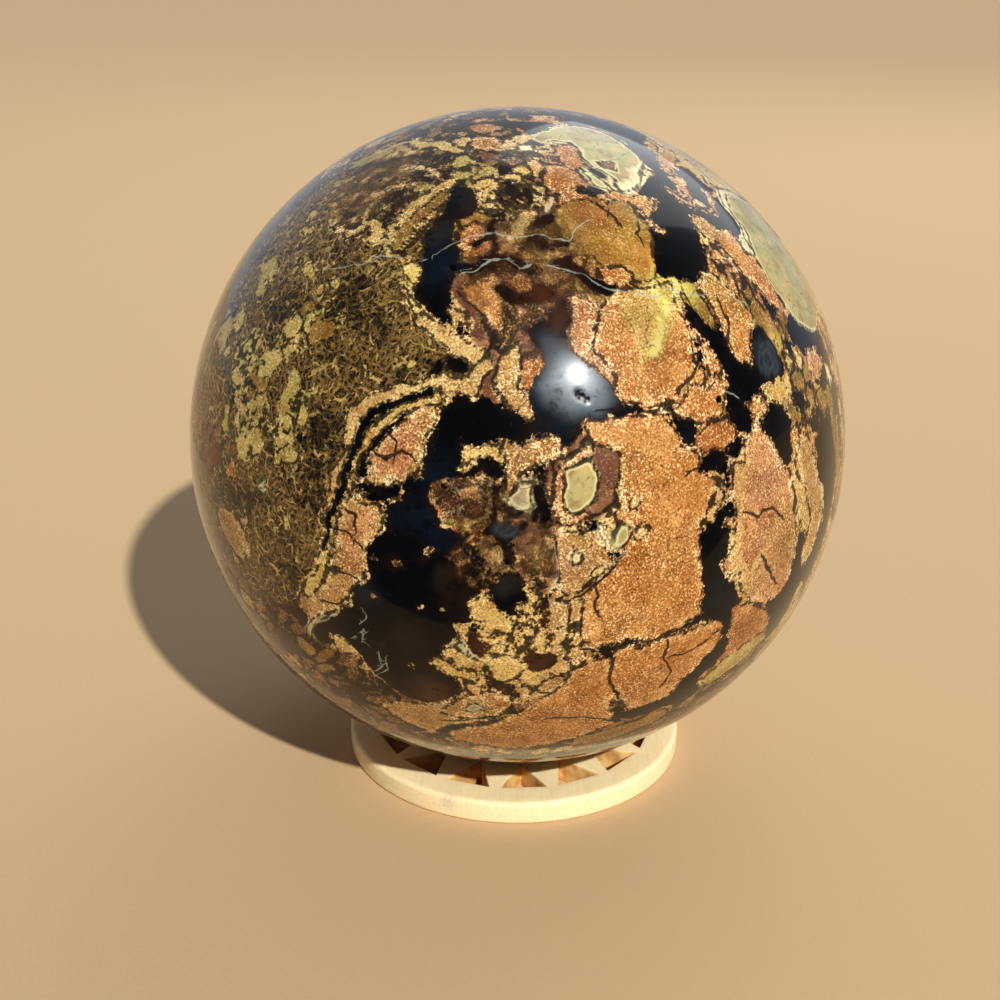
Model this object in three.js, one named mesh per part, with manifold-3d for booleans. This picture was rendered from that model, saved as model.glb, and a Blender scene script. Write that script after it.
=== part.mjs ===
// A polished stone sphere resting in the dished seat of a low, pierced ring stand.
// Millimetres, +Z up. The origin is the middle of the stand's underside, on the surface it stands on,
// and the face of the sphere that is meant to be seen looks towards -Y.

import * as THREE from 'three';
import { mergeVertices } from 'three/addons/utils/BufferGeometryUtils.js';
import Module from 'manifold-3d';

// Sphere
const SPHERE_RADIUS = 55;
const SPHERE_ROWS = 36;
const SPHERE_SEGMENTS = 72;

// Stand: a flat ring with an eased edge
const STAND_RADIUS = 30;
const STAND_THICKNESS = 4;
const TOP_EDGE_RADIUS = 0.8;
const FOOT_EDGE_RADIUS = 0.5;
const STAND_SEGMENTS = 96;

// Seat: the hole's upper edge, dished to the sphere's own curve
const HOLE_RADIUS = 9.5;
const SEAT_LIP_RADIUS = 12;
const SEAT_GAP = 0.3;

// Piercings: a ring of triangles, their bases towards the rim and their points towards the seat
const PIERCING_COUNT = 16;
const PIERCING_PHASE = THREE.MathUtils.degToRad(3.6);
const PIERCING_BASE_RADIUS = 24.8;
const PIERCING_POINT_RADIUS = 17.8;
const PIERCING_BASE_WIDTH = 7.6;

// The sphere's centre is where a ball, grown by the gap, passes through the lip of the seat.
const SEAT_CURVE_RADIUS = SPHERE_RADIUS + SEAT_GAP;
const SPHERE_CENTRE_Z = STAND_THICKNESS + Math.sqrt(SEAT_CURVE_RADIUS ** 2 - SEAT_LIP_RADIUS ** 2);

const wasm = await Module();
wasm.setup();

// Points along an arc in the profile plane, both ends included; angles in radians from +X.
function arc(centreX, centreY, radius, startAngle, endAngle, steps) {
  const points = [];
  for (let step = 0; step <= steps; step += 1) {
    const angle = startAngle + (endAngle - startAngle) * (step / steps);
    points.push(new THREE.Vector2(centreX + radius * Math.cos(angle), centreY + radius * Math.sin(angle)));
  }
  return points;
}

// A lathe turns its profile about +Y, so the solid is tipped up to turn about +Z.
function turned(profile, segments) {
  const geometry = new THREE.LatheGeometry(profile, segments);
  geometry.rotateX(Math.PI / 2);
  return geometry;
}

function toManifold(geometry) {
  const bare = geometry.clone();
  bare.deleteAttribute('normal');
  bare.deleteAttribute('uv');
  const merged = mergeVertices(bare, 1e-4);
  const corners = Array.from(merged.index.array);
  const triVerts = [];
  for (let i = 0; i < corners.length; i += 3) {
    const [a, b, c] = corners.slice(i, i + 3);
    if (a !== b && b !== c && c !== a) {
      triVerts.push(a, b, c);
    }
  }
  const mesh = new wasm.Mesh({
    numProp: 3,
    vertProperties: new Float32Array(merged.attributes.position.array),
    triVerts: new Uint32Array(triVerts),
  });
  return new wasm.Manifold(mesh);
}

function toGeometry(solid) {
  const mesh = solid.getMesh();
  const geometry = new THREE.BufferGeometry();
  geometry.setAttribute('position', new THREE.BufferAttribute(mesh.vertProperties, 3));
  geometry.setIndex(new THREE.BufferAttribute(mesh.triVerts, 1));
  return geometry;
}

// The sphere is turned from a half circle that runs from its lowest point to its highest.
function sphereGeometry() {
  const profile = arc(0, 0, SPHERE_RADIUS, -Math.PI / 2, Math.PI / 2, SPHERE_ROWS);
  profile[0].x = 0;
  profile[SPHERE_ROWS].x = 0;
  return turned(profile, SPHERE_SEGMENTS);
}

// The ring's section runs along the underside, up the eased rim, over the top and down the dished seat.
function ringProfile() {
  const centreY = SPHERE_CENTRE_Z;
  const lipAngle = Math.atan2(STAND_THICKNESS - centreY, SEAT_LIP_RADIUS);
  const holeAngle = -Math.acos(HOLE_RADIUS / SEAT_CURVE_RADIUS);
  const footCentre = STAND_RADIUS - FOOT_EDGE_RADIUS;
  const topCentre = STAND_RADIUS - TOP_EDGE_RADIUS;
  const profile = [
    new THREE.Vector2(HOLE_RADIUS, 0),
    ...arc(footCentre, FOOT_EDGE_RADIUS, FOOT_EDGE_RADIUS, -Math.PI / 2, 0, 3),
    ...arc(topCentre, STAND_THICKNESS - TOP_EDGE_RADIUS, TOP_EDGE_RADIUS, 0, Math.PI / 2, 4),
    ...arc(0, centreY, SEAT_CURVE_RADIUS, lipAngle, holeAngle, 2),
  ];
  profile.push(profile[0].clone());
  return profile;
}

// One triangular cutter, standing upright, at the given angle round the ring.
function piercing(angle) {
  const outline = new THREE.Shape();
  outline.moveTo(PIERCING_POINT_RADIUS, 0);
  outline.lineTo(PIERCING_BASE_RADIUS, -PIERCING_BASE_WIDTH / 2);
  outline.lineTo(PIERCING_BASE_RADIUS, PIERCING_BASE_WIDTH / 2);
  outline.closePath();
  const geometry = new THREE.ExtrudeGeometry(outline, { depth: 3 * STAND_THICKNESS, bevelEnabled: false });
  geometry.translate(0, 0, -STAND_THICKNESS);
  geometry.rotateZ(angle);
  return toManifold(geometry);
}

function ringGeometry() {
  let ring = toManifold(turned(ringProfile(), STAND_SEGMENTS));
  for (let index = 0; index < PIERCING_COUNT; index += 1) {
    const angle = PIERCING_PHASE - Math.PI / 2 + (2 * Math.PI * index) / PIERCING_COUNT;
    ring = ring.subtract(piercing(angle));
  }
  return toGeometry(ring);
}

const stone = new THREE.MeshStandardMaterial({ color: 0x6f4b2e, roughness: 0.12, metalness: 0 });
const wood = new THREE.MeshStandardMaterial({ color: 0xe8dab4, roughness: 0.65, metalness: 0 });

const sphere = new THREE.Mesh(sphereGeometry(), stone);
sphere.name = 'stone_sphere';
sphere.position.set(0, 0, SPHERE_CENTRE_Z);

const stand = new THREE.Mesh(ringGeometry(), wood);
stand.name = 'ring_stand';

const ornament = new THREE.Group();
ornament.add(sphere, stand);

export default ornament;
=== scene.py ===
import bmesh
import bpy
import numpy as np
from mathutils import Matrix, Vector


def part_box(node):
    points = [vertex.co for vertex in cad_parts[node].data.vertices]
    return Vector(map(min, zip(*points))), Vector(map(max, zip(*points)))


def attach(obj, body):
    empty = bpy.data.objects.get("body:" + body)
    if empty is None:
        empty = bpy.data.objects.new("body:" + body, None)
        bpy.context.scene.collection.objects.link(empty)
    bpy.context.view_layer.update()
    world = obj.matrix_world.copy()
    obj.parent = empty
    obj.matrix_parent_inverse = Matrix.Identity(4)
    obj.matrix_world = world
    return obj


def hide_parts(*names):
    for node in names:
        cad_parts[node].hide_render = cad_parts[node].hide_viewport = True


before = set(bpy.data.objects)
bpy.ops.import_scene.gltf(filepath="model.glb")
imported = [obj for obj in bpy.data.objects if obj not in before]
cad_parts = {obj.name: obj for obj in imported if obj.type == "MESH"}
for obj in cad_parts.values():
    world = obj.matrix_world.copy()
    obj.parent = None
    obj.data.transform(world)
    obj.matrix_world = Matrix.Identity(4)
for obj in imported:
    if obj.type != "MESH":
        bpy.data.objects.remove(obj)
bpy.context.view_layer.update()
scene = bpy.context.scene


# ---------------------------------------------------------------------------------------------------
# Camera: it stands well back from the ornament and a little above it, nearly square to the front, and
# is tipped down so that the sphere fills the upper part of the view and the ring shows below it.
sphere_low, sphere_high = (np.array(corner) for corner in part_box("stone_sphere"))
sphere_middle = (sphere_low + sphere_high) / 2
sphere_radius = (sphere_high[2] - sphere_low[2]) / 2

CAMERA_REACH = 4.687          # sphere radii from the sphere's middle
CAMERA_BEARING = -0.66        # degrees round from the front
CAMERA_HEIGHT = 19.08         # degrees above the sphere's middle
CAMERA_TILT = 21.465          # degrees down
CAMERA_ROLL = 0.351
SENSOR_WIDTH = 36.0
FOCAL_LENGTH = 54.0


def outward(azimuth, elevation):
    """Unit direction at an azimuth from the front (-Y) towards +X and an elevation above the horizon."""
    azimuth, elevation = np.radians(azimuth), np.radians(elevation)
    level = np.cos(elevation)
    return np.stack([np.sin(azimuth) * level, -np.cos(azimuth) * level, np.sin(elevation)], axis=-1)


camera_side = outward(CAMERA_BEARING, CAMERA_HEIGHT)
lens = bpy.data.cameras.new("camera")
lens.sensor_width = SENSOR_WIDTH
lens.lens = FOCAL_LENGTH
lens.clip_start = 0.01
camera = bpy.data.objects.new("camera", lens)
camera.location = sphere_middle + CAMERA_REACH * sphere_radius * camera_side
# ZXY order turns the camera about its own line of sight first and then tips it.
camera.rotation_mode = "ZXY"
camera.rotation_euler = (np.radians(90 - CAMERA_TILT), 0, np.radians(CAMERA_ROLL))
scene.collection.objects.link(camera)
scene.camera = camera


# ---------------------------------------------------------------------------------------------------
# Ring stand: a round disc cut from pale close-grained board, sanded and left bare, with a seat
# bored for the sphere and sixteen triangular piercings cut right through, their walls browned by
# the hot cut. The sphere only rests in its seat.
MM = 0.001
RING_RADIUS = 30.0
RING_HEIGHT = 4.0
TOP_ROUND = 0.8
FOOT_ROUND = 0.5
BORE_RADIUS = 9.5
SEAT_CLEARANCE = 0.02
BALL = sphere_radius / MM
SEAT_CURVE = BALL + SEAT_CLEARANCE
SEAT_HEIGHT = sphere_middle[2] / MM
SEAT_LIP = np.sqrt(SEAT_CURVE**2 - (SEAT_HEIGHT - RING_HEIGHT) ** 2)
PIERCINGS = 16
PIERCING_PHASE = 3.6          # degrees from the front to the middle of the nearest piercing
PIERCING_TIP = 17.8
PIERCING_BASE = 24.8
PIERCING_WIDTH = 7.6
CUT_ROUND = 0.2


def linear(red, green, blue):
    """Scene-linear colour of an ordinary 0-255 colour: the standard display curve, undone."""
    level = np.array([red, green, blue]) / 255
    return np.where(level <= 0.04045, level / 12.92, ((level + 0.055) / 1.055) ** 2.4)


def make_piece(name, points, quads, smooth_angle):
    """Mesh object of a surface given as points and quads; points that fall together are welded."""
    mesh = bpy.data.meshes.new(name)
    mesh.from_pydata(points, [], quads)
    welded = bmesh.new()
    welded.from_mesh(mesh)
    bmesh.ops.remove_doubles(welded, verts=welded.verts, dist=1e-7)
    welded.to_mesh(mesh)
    welded.free()
    mesh.shade_smooth()
    mesh.set_sharp_from_angle(angle=np.radians(smooth_angle))
    piece = bpy.data.objects.new(name, mesh)
    scene.collection.objects.link(piece)
    return piece


def mesh_points(piece):
    """The piece's points, one row each."""
    flat = np.empty(len(piece.data.vertices) * 3)
    piece.data.vertices.foreach_get("co", flat)
    return flat.reshape(-1, 3)


def store(piece, name, values):
    """Keeps one number, or one colour, for each point of a piece."""
    values = np.asarray(values, dtype=np.float32)
    if values.ndim == 1:
        piece.data.attributes.new(name, "FLOAT", "POINT").data.foreach_set("value", values)
        return
    coloured = np.column_stack([values, np.ones(len(values), np.float32)])
    kept = piece.data.attributes.new(name, "FLOAT_COLOR", "POINT")
    kept.data.foreach_set("color", coloured.astype(np.float32).ravel())


def grid_quads(rows, columns, start=0):
    """Corner numbers of the quads of a rows x columns grid of points, numbered row by row."""
    corner = start + np.arange(rows * columns).reshape(rows, columns)
    quads = [corner[:-1, :-1], corner[:-1, 1:], corner[1:, 1:], corner[1:, :-1]]
    return np.stack(quads, axis=-1).reshape(-1, 4)


def ring_sector_grid(middle_angle):
    """Points (across, along, 3) of the wood round one piercing.

    Along follows the piercing's outline and the sector's edge side by side: base with rim, slanted
    sides with the two straight cuts between sectors, tip with the seat. Across runs in over the top
    face from the sector's edge, down the wall of the piercing, and out again under the foot. The
    piercing grown by d is the same triangle scaled about its incentre by (inradius + d) / inradius.
    """
    half = np.pi / PIERCINGS
    depth = PIERCING_BASE - PIERCING_TIP
    slant = np.hypot(depth, PIERCING_WIDTH / 2)
    inradius = depth * PIERCING_WIDTH / (PIERCING_WIDTH + 2 * slant)
    incentre = np.array([PIERCING_BASE - inradius, 0])
    corners = np.array(
        [[PIERCING_BASE, -PIERCING_WIDTH / 2], [PIERCING_BASE, PIERCING_WIDTH / 2],
         [PIERCING_TIP, 0.0], [PIERCING_TIP, 0.0]]
    )
    steps = [16, 10, 8, 10]
    hole, place = [], []
    turns = [(-half, half), (half, half), (half, -half), (-half, -half)]
    reaches = [(1, 1), (1, 0), (0, 0), (0, 1)]
    for side, count in enumerate(steps):
        along = np.linspace(0, 1, count, endpoint=False)[:, None]
        hole.append(corners[side] * (1 - along) + corners[(side + 1) % 4] * along)
        turn = turns[side][0] * (1 - along) + turns[side][1] * along
        reach = reaches[side][0] * (1 - along) + reaches[side][1] * along
        place.append(np.hstack([turn, reach]))
    hole, place = (np.vstack(part + [part[0][:1]]) for part in (hole, place))

    def edge_loop(inner, outer):
        radius = inner + (outer - inner) * place[:, 1]
        return np.stack([radius * np.cos(place[:, 0]), radius * np.sin(place[:, 0])], axis=1)

    def grown(distance):
        return incentre + (hole - incentre) * (inradius + distance) / inradius

    rings = []
    top_edge, cut_edge = edge_loop(SEAT_LIP, RING_RADIUS - TOP_ROUND), grown(CUT_ROUND)
    for share in np.linspace(0, 1, 5)[:-1]:
        rings.append((top_edge * (1 - share) + cut_edge * share, RING_HEIGHT))
    for turn in np.linspace(0, np.pi / 2, 4):
        lift = RING_HEIGHT - CUT_ROUND * (1 - np.cos(turn))
        rings.append((grown(CUT_ROUND * (1 - np.sin(turn))), lift))
    for lift in np.linspace(RING_HEIGHT - CUT_ROUND, CUT_ROUND, 5)[1:-1]:
        rings.append((grown(0), lift))
    for turn in np.linspace(np.pi / 2, 0, 4):
        rings.append((grown(CUT_ROUND * (1 - np.sin(turn))), CUT_ROUND * (1 - np.cos(turn))))
    foot_edge = edge_loop(BORE_RADIUS, RING_RADIUS - FOOT_ROUND)
    for share in np.linspace(0, 1, 4)[1:]:
        rings.append((cut_edge * (1 - share) + foot_edge * share, 0.0))
    grid = np.array([np.column_stack([flat, np.full(len(flat), lift)]) for flat, lift in rings])
    cos, sin = np.cos(middle_angle), np.sin(middle_angle)
    turned = grid.copy()
    turned[..., 0] = grid[..., 0] * cos - grid[..., 1] * sin
    turned[..., 1] = grid[..., 0] * sin + grid[..., 1] * cos
    return turned


def turned_band(profile, angles):
    """Points (profile, angle, 3) of a profile of (radius, height) carried round the upright axis."""
    radius, height = np.array(profile).T
    x, y = radius[:, None] * np.cos(angles), radius[:, None] * np.sin(angles)
    return np.stack([x, y, np.broadcast_to(height[:, None], x.shape)], axis=-1)


def quarter_round(centre, radius, start, stop, steps=6):
    """Points of an arc of a profile about its centre, between two angles in degrees."""
    turns = np.radians(np.linspace(start, stop, steps))
    return [(centre[0] + radius * np.cos(t), centre[1] + radius * np.sin(t)) for t in turns]


points, quads, total = [], [], 0
sector_angles = np.radians(PIERCING_PHASE - 90) + np.arange(PIERCINGS) * 2 * np.pi / PIERCINGS
for middle_angle in sector_angles:
    grid = ring_sector_grid(middle_angle)
    points.append(grid.reshape(-1, 3))
    quads.append(grid_quads(grid.shape[0], grid.shape[1], total))
    total += grid.shape[0] * grid.shape[1]

# The two bands run the other way round from the sectors, so their corners are taken in reverse.
start_angle = sector_angles[0] - np.pi / PIERCINGS
rim_profile = quarter_round((RING_RADIUS - TOP_ROUND, RING_HEIGHT - TOP_ROUND), TOP_ROUND, 90, 0)
rim_profile += quarter_round((RING_RADIUS - FOOT_ROUND, FOOT_ROUND), FOOT_ROUND, 0, -90)
seat_profile = [(BORE_RADIUS, 0.0), (BORE_RADIUS, 1.5), (BORE_RADIUS, 3.0)]
for radius in np.linspace(BORE_RADIUS, SEAT_LIP, 5):
    seat_profile.append((radius, SEAT_HEIGHT - np.sqrt(SEAT_CURVE**2 - radius**2)))
for profile, count in ((rim_profile, PIERCINGS * 16), (seat_profile, PIERCINGS * 8)):
    angles = start_angle + np.arange(count + 1) * 2 * np.pi / count
    angles[-1] = angles[0]
    grid = turned_band(profile, angles)
    points.append(grid.reshape(-1, 3))
    quads.append(grid_quads(grid.shape[0], grid.shape[1], total)[:, ::-1])
    total += grid.shape[0] * grid.shape[1]

ring = make_piece("ring_stand_wood", np.vstack(points) * MM, np.vstack(quads), 35)


class Wire:
    """The output of a node in a finish. Arithmetic on it adds the Math node that works it out."""

    def __init__(self, finish, socket):
        self.finish = finish
        self.socket = socket

    def math(self, operation, *values):
        return self.finish.node("Math", {"operation": operation}, dict(enumerate(values)))

    def __add__(self, other):
        return self.math("ADD", self, other)

    def __radd__(self, other):
        return self.math("ADD", other, self)

    def __sub__(self, other):
        return self.math("SUBTRACT", self, other)

    def __rsub__(self, other):
        return self.math("SUBTRACT", other, self)

    def __mul__(self, other):
        return self.math("MULTIPLY", self, other)

    def __rmul__(self, other):
        return self.math("MULTIPLY", other, self)

    def __abs__(self):
        return self.math("ABSOLUTE", self)

    def least(self, other):
        return self.math("MINIMUM", self, other)

    def most(self, other):
        return self.math("MAXIMUM", self, other)

    def step(self, low, high):
        """0 below low, 1 above high and a smooth rise between; the other way round if low > high."""
        settings = {"interpolation_type": "SMOOTHSTEP"}
        if low < high:
            return self.finish.node("MapRange", settings, {0: self, 1: low, 2: high, 3: 0, 4: 1})
        return self.finish.node("MapRange", settings, {0: self, 1: high, 2: low, 3: 1, 4: 0})


class Finish:
    """One material: its nodes are made by node(), and shade() joins them to the surface."""

    def __init__(self, name):
        self.material = bpy.data.materials.new(name)
        self.material.use_nodes = True
        self.tree = self.material.node_tree
        self.shader = self.tree.nodes["Principled BSDF"]
        self.place = self.node("TexCoord", {}, {}, "Object")

    def node(self, kind, settings, inputs, output=0):
        """Adds a node of a kind, applies its settings, then fills its inputs with numbers or links."""
        made = self.tree.nodes.new("ShaderNode" + kind)
        for name, setting in settings.items():
            setattr(made, name, setting)
        for name, value in inputs.items():
            self.fill(made.inputs[name], value)
        return Wire(self, made.outputs[output])

    def fill(self, socket, value):
        if isinstance(value, Wire):
            self.tree.links.new(value.socket, socket)
        elif np.ndim(value) == 1 and socket.type == "RGBA":
            socket.default_value = (*value, 1)
        else:
            socket.default_value = value

    def stored(self, name, output="Fac"):
        """A value kept on the mesh under a name."""
        return self.node("Attribute", {"attribute_name": name}, {}, output)

    def mix(self, amount, first, second):
        """The first colour turning into the second as the amount goes from 0 to 1."""
        return self.node("Mix", {"data_type": "RGBA"}, {0: amount, 6: first, 7: second}, 2)

    def noise(self, size, detail=2.0, roughness=0.5, distortion=0.0, place=None, output=0):
        """Cloudy noise whose lumps are about this many millimetres across."""
        inputs = {"Vector": place or self.place, "Scale": 1 / (size * MM), "Detail": detail}
        inputs.update({"Roughness": roughness, "Distortion": distortion})
        return self.node("TexNoise", {}, inputs, output)

    def shade(self, **sockets):
        for name, value in sockets.items():
            self.fill(self.shader.inputs[name.replace("_", " ")], value)
        return self.material


WOOD_PALE = linear(252, 236, 194)
WOOD_DEEP = linear(244, 222, 172)
WOOD_CUT = linear(240, 204, 138)
WOOD_CHAR = linear(196, 148, 92)
WOOD_SMUDGE = linear(196, 184, 170)

x, y, height = mesh_points(ring).T / MM
from_axis = np.hypot(x, y)
# The cut walls: between the two faces, and nearer to the piercings' middle circle than to the rim.
piercing_middle = (PIERCING_TIP + PIERCING_BASE) / 2
between_faces = (height < RING_HEIGHT - 0.02) & (height > 0.02)
store(ring, "cut", between_faces & (abs(from_axis - piercing_middle) < 5))

wood = Finish("pale bare wood")
stretched = wood.node("Mapping", {}, {"Vector": wood.place, "Scale": (1, 0.12, 1)})
grain = wood.noise(0.7, 4, 0.6, 0.3, stretched)
fleck = wood.noise(0.22, 2, 0.7)
cloud = wood.noise(6, 3, 0.5)
scorch = wood.noise(2.4, 2, 0.5)
cut_wall = wood.stored("cut")
smudge_gap = wood.node(
    "VectorMath", {"operation": "DISTANCE"}, {0: wood.place, 1: (-0.0113, -0.0279, 0.0028)}, "Value"
)
bare = wood.mix(grain.step(0.35, 0.7) * 0.7 + cloud * 0.2, WOOD_PALE, WOOD_DEEP)
bare = wood.mix(fleck.step(0.56, 0.7) * 0.22, bare, linear(190, 160, 110))
bare = wood.mix(smudge_gap.step(0.0022, 0.0004) * fleck.step(0.3, 0.6) * 0.6, bare, WOOD_SMUDGE)
burnt = wood.mix(scorch.step(0.35, 0.7), WOOD_CUT, WOOD_CHAR)
wood_colour = wood.mix(cut_wall.step(0.3, 0.8), bare, burnt)
wood_bump = wood.node(
    "Bump", {}, {"Strength": 0.12, "Distance": 0.00015, "Height": fleck * 0.5 + grain * 0.5}
)
ring.data.materials.append(
    wood.shade(Base_Color=wood_colour, Roughness=0.62 + fleck * 0.12, Normal=wood_bump)
)
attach(ring, "root")
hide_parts("ring_stand")


# ---------------------------------------------------------------------------------------------------
# Sphere: one ball of brecciated jasper, ground round and polished to a mirror. Broken slabs of
# orange, pink, gold and olive stone with cream rims lie in black chalcedony; one side is a brown
# moss of fine threads. The broad patches are laid down one by one, and the rest is seeded breakage.
SPHERE_ROWS = 127
FRONT_DRAW = 0.65

# The body colour, a second colour that clouds it, how sugary it is with fine grains (0-1), and how
# strongly it pales towards its rim (0-1).
STONES = {
    "orange": (linear(174, 112, 52), linear(186, 130, 74), 1.0, 0.6),
    "rust": (linear(146, 84, 38), linear(170, 108, 56), 0.8, 0.4),
    "pink": (linear(168, 106, 70), linear(192, 142, 98), 1.0, 0.8),
    "tan": (linear(158, 118, 70), linear(178, 142, 88), 1.0, 0.8),
    "gold": (linear(178, 144, 74), linear(206, 178, 108), 1.0, 0.5),
    "sallow": (linear(156, 142, 74), linear(192, 178, 108), 0.8, 0.3),
    "olive": (linear(104, 82, 32), linear(140, 112, 48), 0.5, 0.2),
    "cream": (linear(206, 178, 118), linear(182, 144, 90), 1.0, 0.4),
    "green": (linear(158, 156, 104), linear(174, 170, 120), 0.1, 0.3),
    "grey": (linear(146, 152, 134), linear(172, 170, 140), 0.2, 0.2),
    "brown": (linear(70, 44, 22), linear(100, 66, 36), 0.7, 0.1),
    "maroon": (linear(84, 52, 42), linear(112, 74, 60), 0.25, 0.1),
    "rose": (linear(168, 136, 116), linear(190, 160, 138), 0.2, 0.2),
    "pearl": (linear(218, 212, 158), linear(232, 228, 184), 0.1, 0.2),
    "ember": (linear(56, 30, 22), linear(88, 48, 30), 0.7, 0.6),
}
STONE_NAMES = list(STONES)


def cube_sphere(rows, front):
    """Points and quads of a unit ball made from the six faces of a cube, each a rows x rows grid.

    Even angles along a face give tan(angle) on the cube, and the cube's point is pulled to unit
    length. Then the ball is drawn towards the front: tan(t / 2), with t the angle from the front,
    is multiplied by FRONT_DRAW, which packs the grid closer where the pattern is finest.
    """
    span = np.tan(np.linspace(-np.pi / 4, np.pi / 4, rows + 1))
    across, up = np.meshgrid(span, span)
    one = np.ones_like(across)
    sides = [(one, across, up), (-one, -across, up), (-across, one, up), (across, -one, up),
             (-up, across, one), (up, across, -one)]
    cube = np.array([np.stack(side, axis=-1).reshape(-1, 3) for side in sides]).reshape(-1, 3)
    ball = cube / np.linalg.norm(cube, axis=1, keepdims=True)
    ahead = ball @ front
    beside = ball - ahead[:, None] * front
    narrow = FRONT_DRAW**2
    share = (1 - ahead) / np.maximum(1 + ahead, 1e-12) * narrow
    new_ahead = (1 - share) / (1 + share)
    length = np.linalg.norm(beside, axis=1, keepdims=True)
    beside = beside / np.maximum(length, 1e-12)
    ball = new_ahead[:, None] * front + np.sqrt(np.clip(1 - new_ahead**2, 0, 1))[:, None] * beside
    corners = (rows + 1) ** 2
    quads = np.vstack([grid_quads(rows + 1, rows + 1, side * corners) for side in range(6)])
    return ball, quads


def lattice_noise(points, size, seed):
    """Smooth noise from -1 to 1: random numbers at the corners of cubes of a size in millimetres,
    blended by the smooth-step of the point's place inside its cube."""
    table = np.random.default_rng(seed).uniform(-1, 1, (32, 32, 32))
    cell = points / size + 512
    low = np.floor(cell).astype(int)
    share = cell - low
    share = share * share * (3 - 2 * share)
    total = np.zeros(len(points))
    for corner in np.ndindex(2, 2, 2):
        weight = np.prod(np.where(corner, share, 1 - share), axis=1)
        index = (low + corner) % 32
        total += weight * table[index[:, 0], index[:, 1], index[:, 2]]
    return total


def flatten(points, middle):
    """Flat map in millimetres of points on the ball round a middle direction: east and north times
    the arc to the point, so that distances from the middle are true."""
    east = np.cross([0, 0, 1.0], middle)
    east /= np.linalg.norm(east)
    north = np.cross(middle, east)
    ahead = np.clip(points @ middle, -1, 1)
    arc = np.arccos(ahead) / np.maximum(np.sqrt(1 - ahead**2), 1e-9)
    return np.stack([points @ east, points @ north], axis=-1) * (arc * BALL)[..., None]


def to_line(flat, corners, closed):
    """Distance from flat points to a line of corners, and for each the number of its nearest piece
    and the side it lies on: the nearest point of each straight piece is found by a dot product."""
    start = corners if closed else corners[:-1]
    piece = (np.roll(corners, -1, axis=0) if closed else corners[1:]) - start
    offset = flat[:, None] - start
    along = np.clip((offset * piece).sum(-1) / (piece**2).sum(-1), 0, 1)
    gap = np.linalg.norm(offset - along[..., None] * piece, axis=-1)
    nearest = gap.argmin(axis=1)
    row = np.arange(len(flat))
    turn = piece[nearest, 0] * offset[row, nearest, 1] - piece[nearest, 1] * offset[row, nearest, 0]
    return gap[row, nearest], np.sign(turn)


def depth_inside(flat, corners):
    """Distance to a closed outline, positive inside: a point is inside if a line from it to the
    east crosses the outline an odd number of times."""
    start, stop = corners, np.roll(corners, -1, axis=0)
    y = flat[:, 1:2]
    straddles = (start[:, 1] > y) != (stop[:, 1] > y)
    rise = np.where(stop[:, 1] == start[:, 1], 1, stop[:, 1] - start[:, 1])
    crossing = start[:, 0] + (y - start[:, 1]) / rise * (stop[:, 0] - start[:, 0])
    inside = (straddles & (flat[:, 0:1] < crossing)).sum(axis=1) % 2 == 1
    gap = to_line(flat, corners, True)[0]
    return np.where(inside, gap, -gap)


ball, ball_quads = cube_sphere(SPHERE_ROWS, camera_side)
sphere = make_piece("stone_sphere_jasper", sphere_middle + ball * sphere_radius, ball_quads, 180)
true_ball = (mesh_points(sphere) - sphere_middle) / sphere_radius

# A few small pits are left in the polish, coloured near black inside. Each has its azimuth, its elevation
# and
# its radius in millimetres: three lie together in the milky chalcedony at the front.
PITS = [(9.4, 24.7, 0.65), (10.3, 24.2, 0.55), (8.8, 25.2, 0.45), (-22, 9, 0.7),
        (33, 22, 0.6), (-14, 44, 0.6), (120, 18, 0.9), (-150, 30, 0.8), (176, -8, 0.8)]
PIT_DEPTH = 0.12
pit = np.zeros(len(true_ball))
for east, north, size in PITS:
    share = np.arccos(np.clip(true_ball @ outward(east, north), -1, 1)) * BALL / size
    pit = np.maximum(pit, np.clip(1 - share**2, 0, 1))
polished = sphere_middle + true_ball * (sphere_radius - pit * PIT_DEPTH * MM)[:, None]
sphere.data.vertices.foreach_set("co", polished.ravel())
sphere.data.update()

# The outlines wander: every point of the ball looks up the pattern a little way off its own place.
millimetres = true_ball * BALL
WANDERS = [(5.0, 0.9, 10), (2.2, 0.5, 20), (1.1, 0.22, 30)]       # lump size, throw and seed
wander = np.zeros_like(millimetres)
for size, throw, seed in WANDERS:
    for axis in range(3):
        wander[:, axis] += lattice_noise(millimetres, size, seed + axis) * throw
stray = millimetres + wander
stray = stray / np.linalg.norm(stray, axis=1, keepdims=True)

FAR = 6.0             # the depth given to points that lie well away from an outline
REACH = 4.0           # how far round an outline its depth is worked out
edge = np.full(len(stray), -FAR)
border = np.full(len(stray), FAR)
stone = np.zeros(len(stray), dtype=int)


def near_points(corners, reach):
    """Numbers of the points of the ball inside a circle round an outline's corners, drawn larger by
    a reach in millimetres, and the middle direction of the corners."""
    middle = corners.mean(axis=0)
    middle /= np.linalg.norm(middle)
    widest = np.arccos(np.clip(corners @ middle, -1, 1)).max() + reach / BALL
    return np.nonzero(stray @ middle > np.cos(widest))[0], middle


CLOSENESS = 2.0


def set_down(near, depth, kind, seam=True):
    """Puts stone where a depth is positive. The edge with the ground is the smooth union of the old
    stone and the new: the greater depth, raised by up to half a millimetre where the two are alike,
    so that stones which meet stay close. The border is the distance to the nearest outline."""
    old = edge[near]
    stone[near] = np.where((depth > 0) | ((old < 0) & (depth > old)), kind, stone[near])
    alike = np.clip(CLOSENESS - np.abs(depth - old), 0, None) / CLOSENESS
    edge[near] = np.maximum(depth, old) + alike**2 * CLOSENESS / 4
    if seam:
        border[near] = np.where(depth > 0, depth, np.minimum(border[near], -depth))


def directions(places):
    """Unit directions, one row each, of azimuths and elevations that are listed by turns."""
    return outward(*np.array(places, dtype=float).reshape(-1, 2).T)


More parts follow.
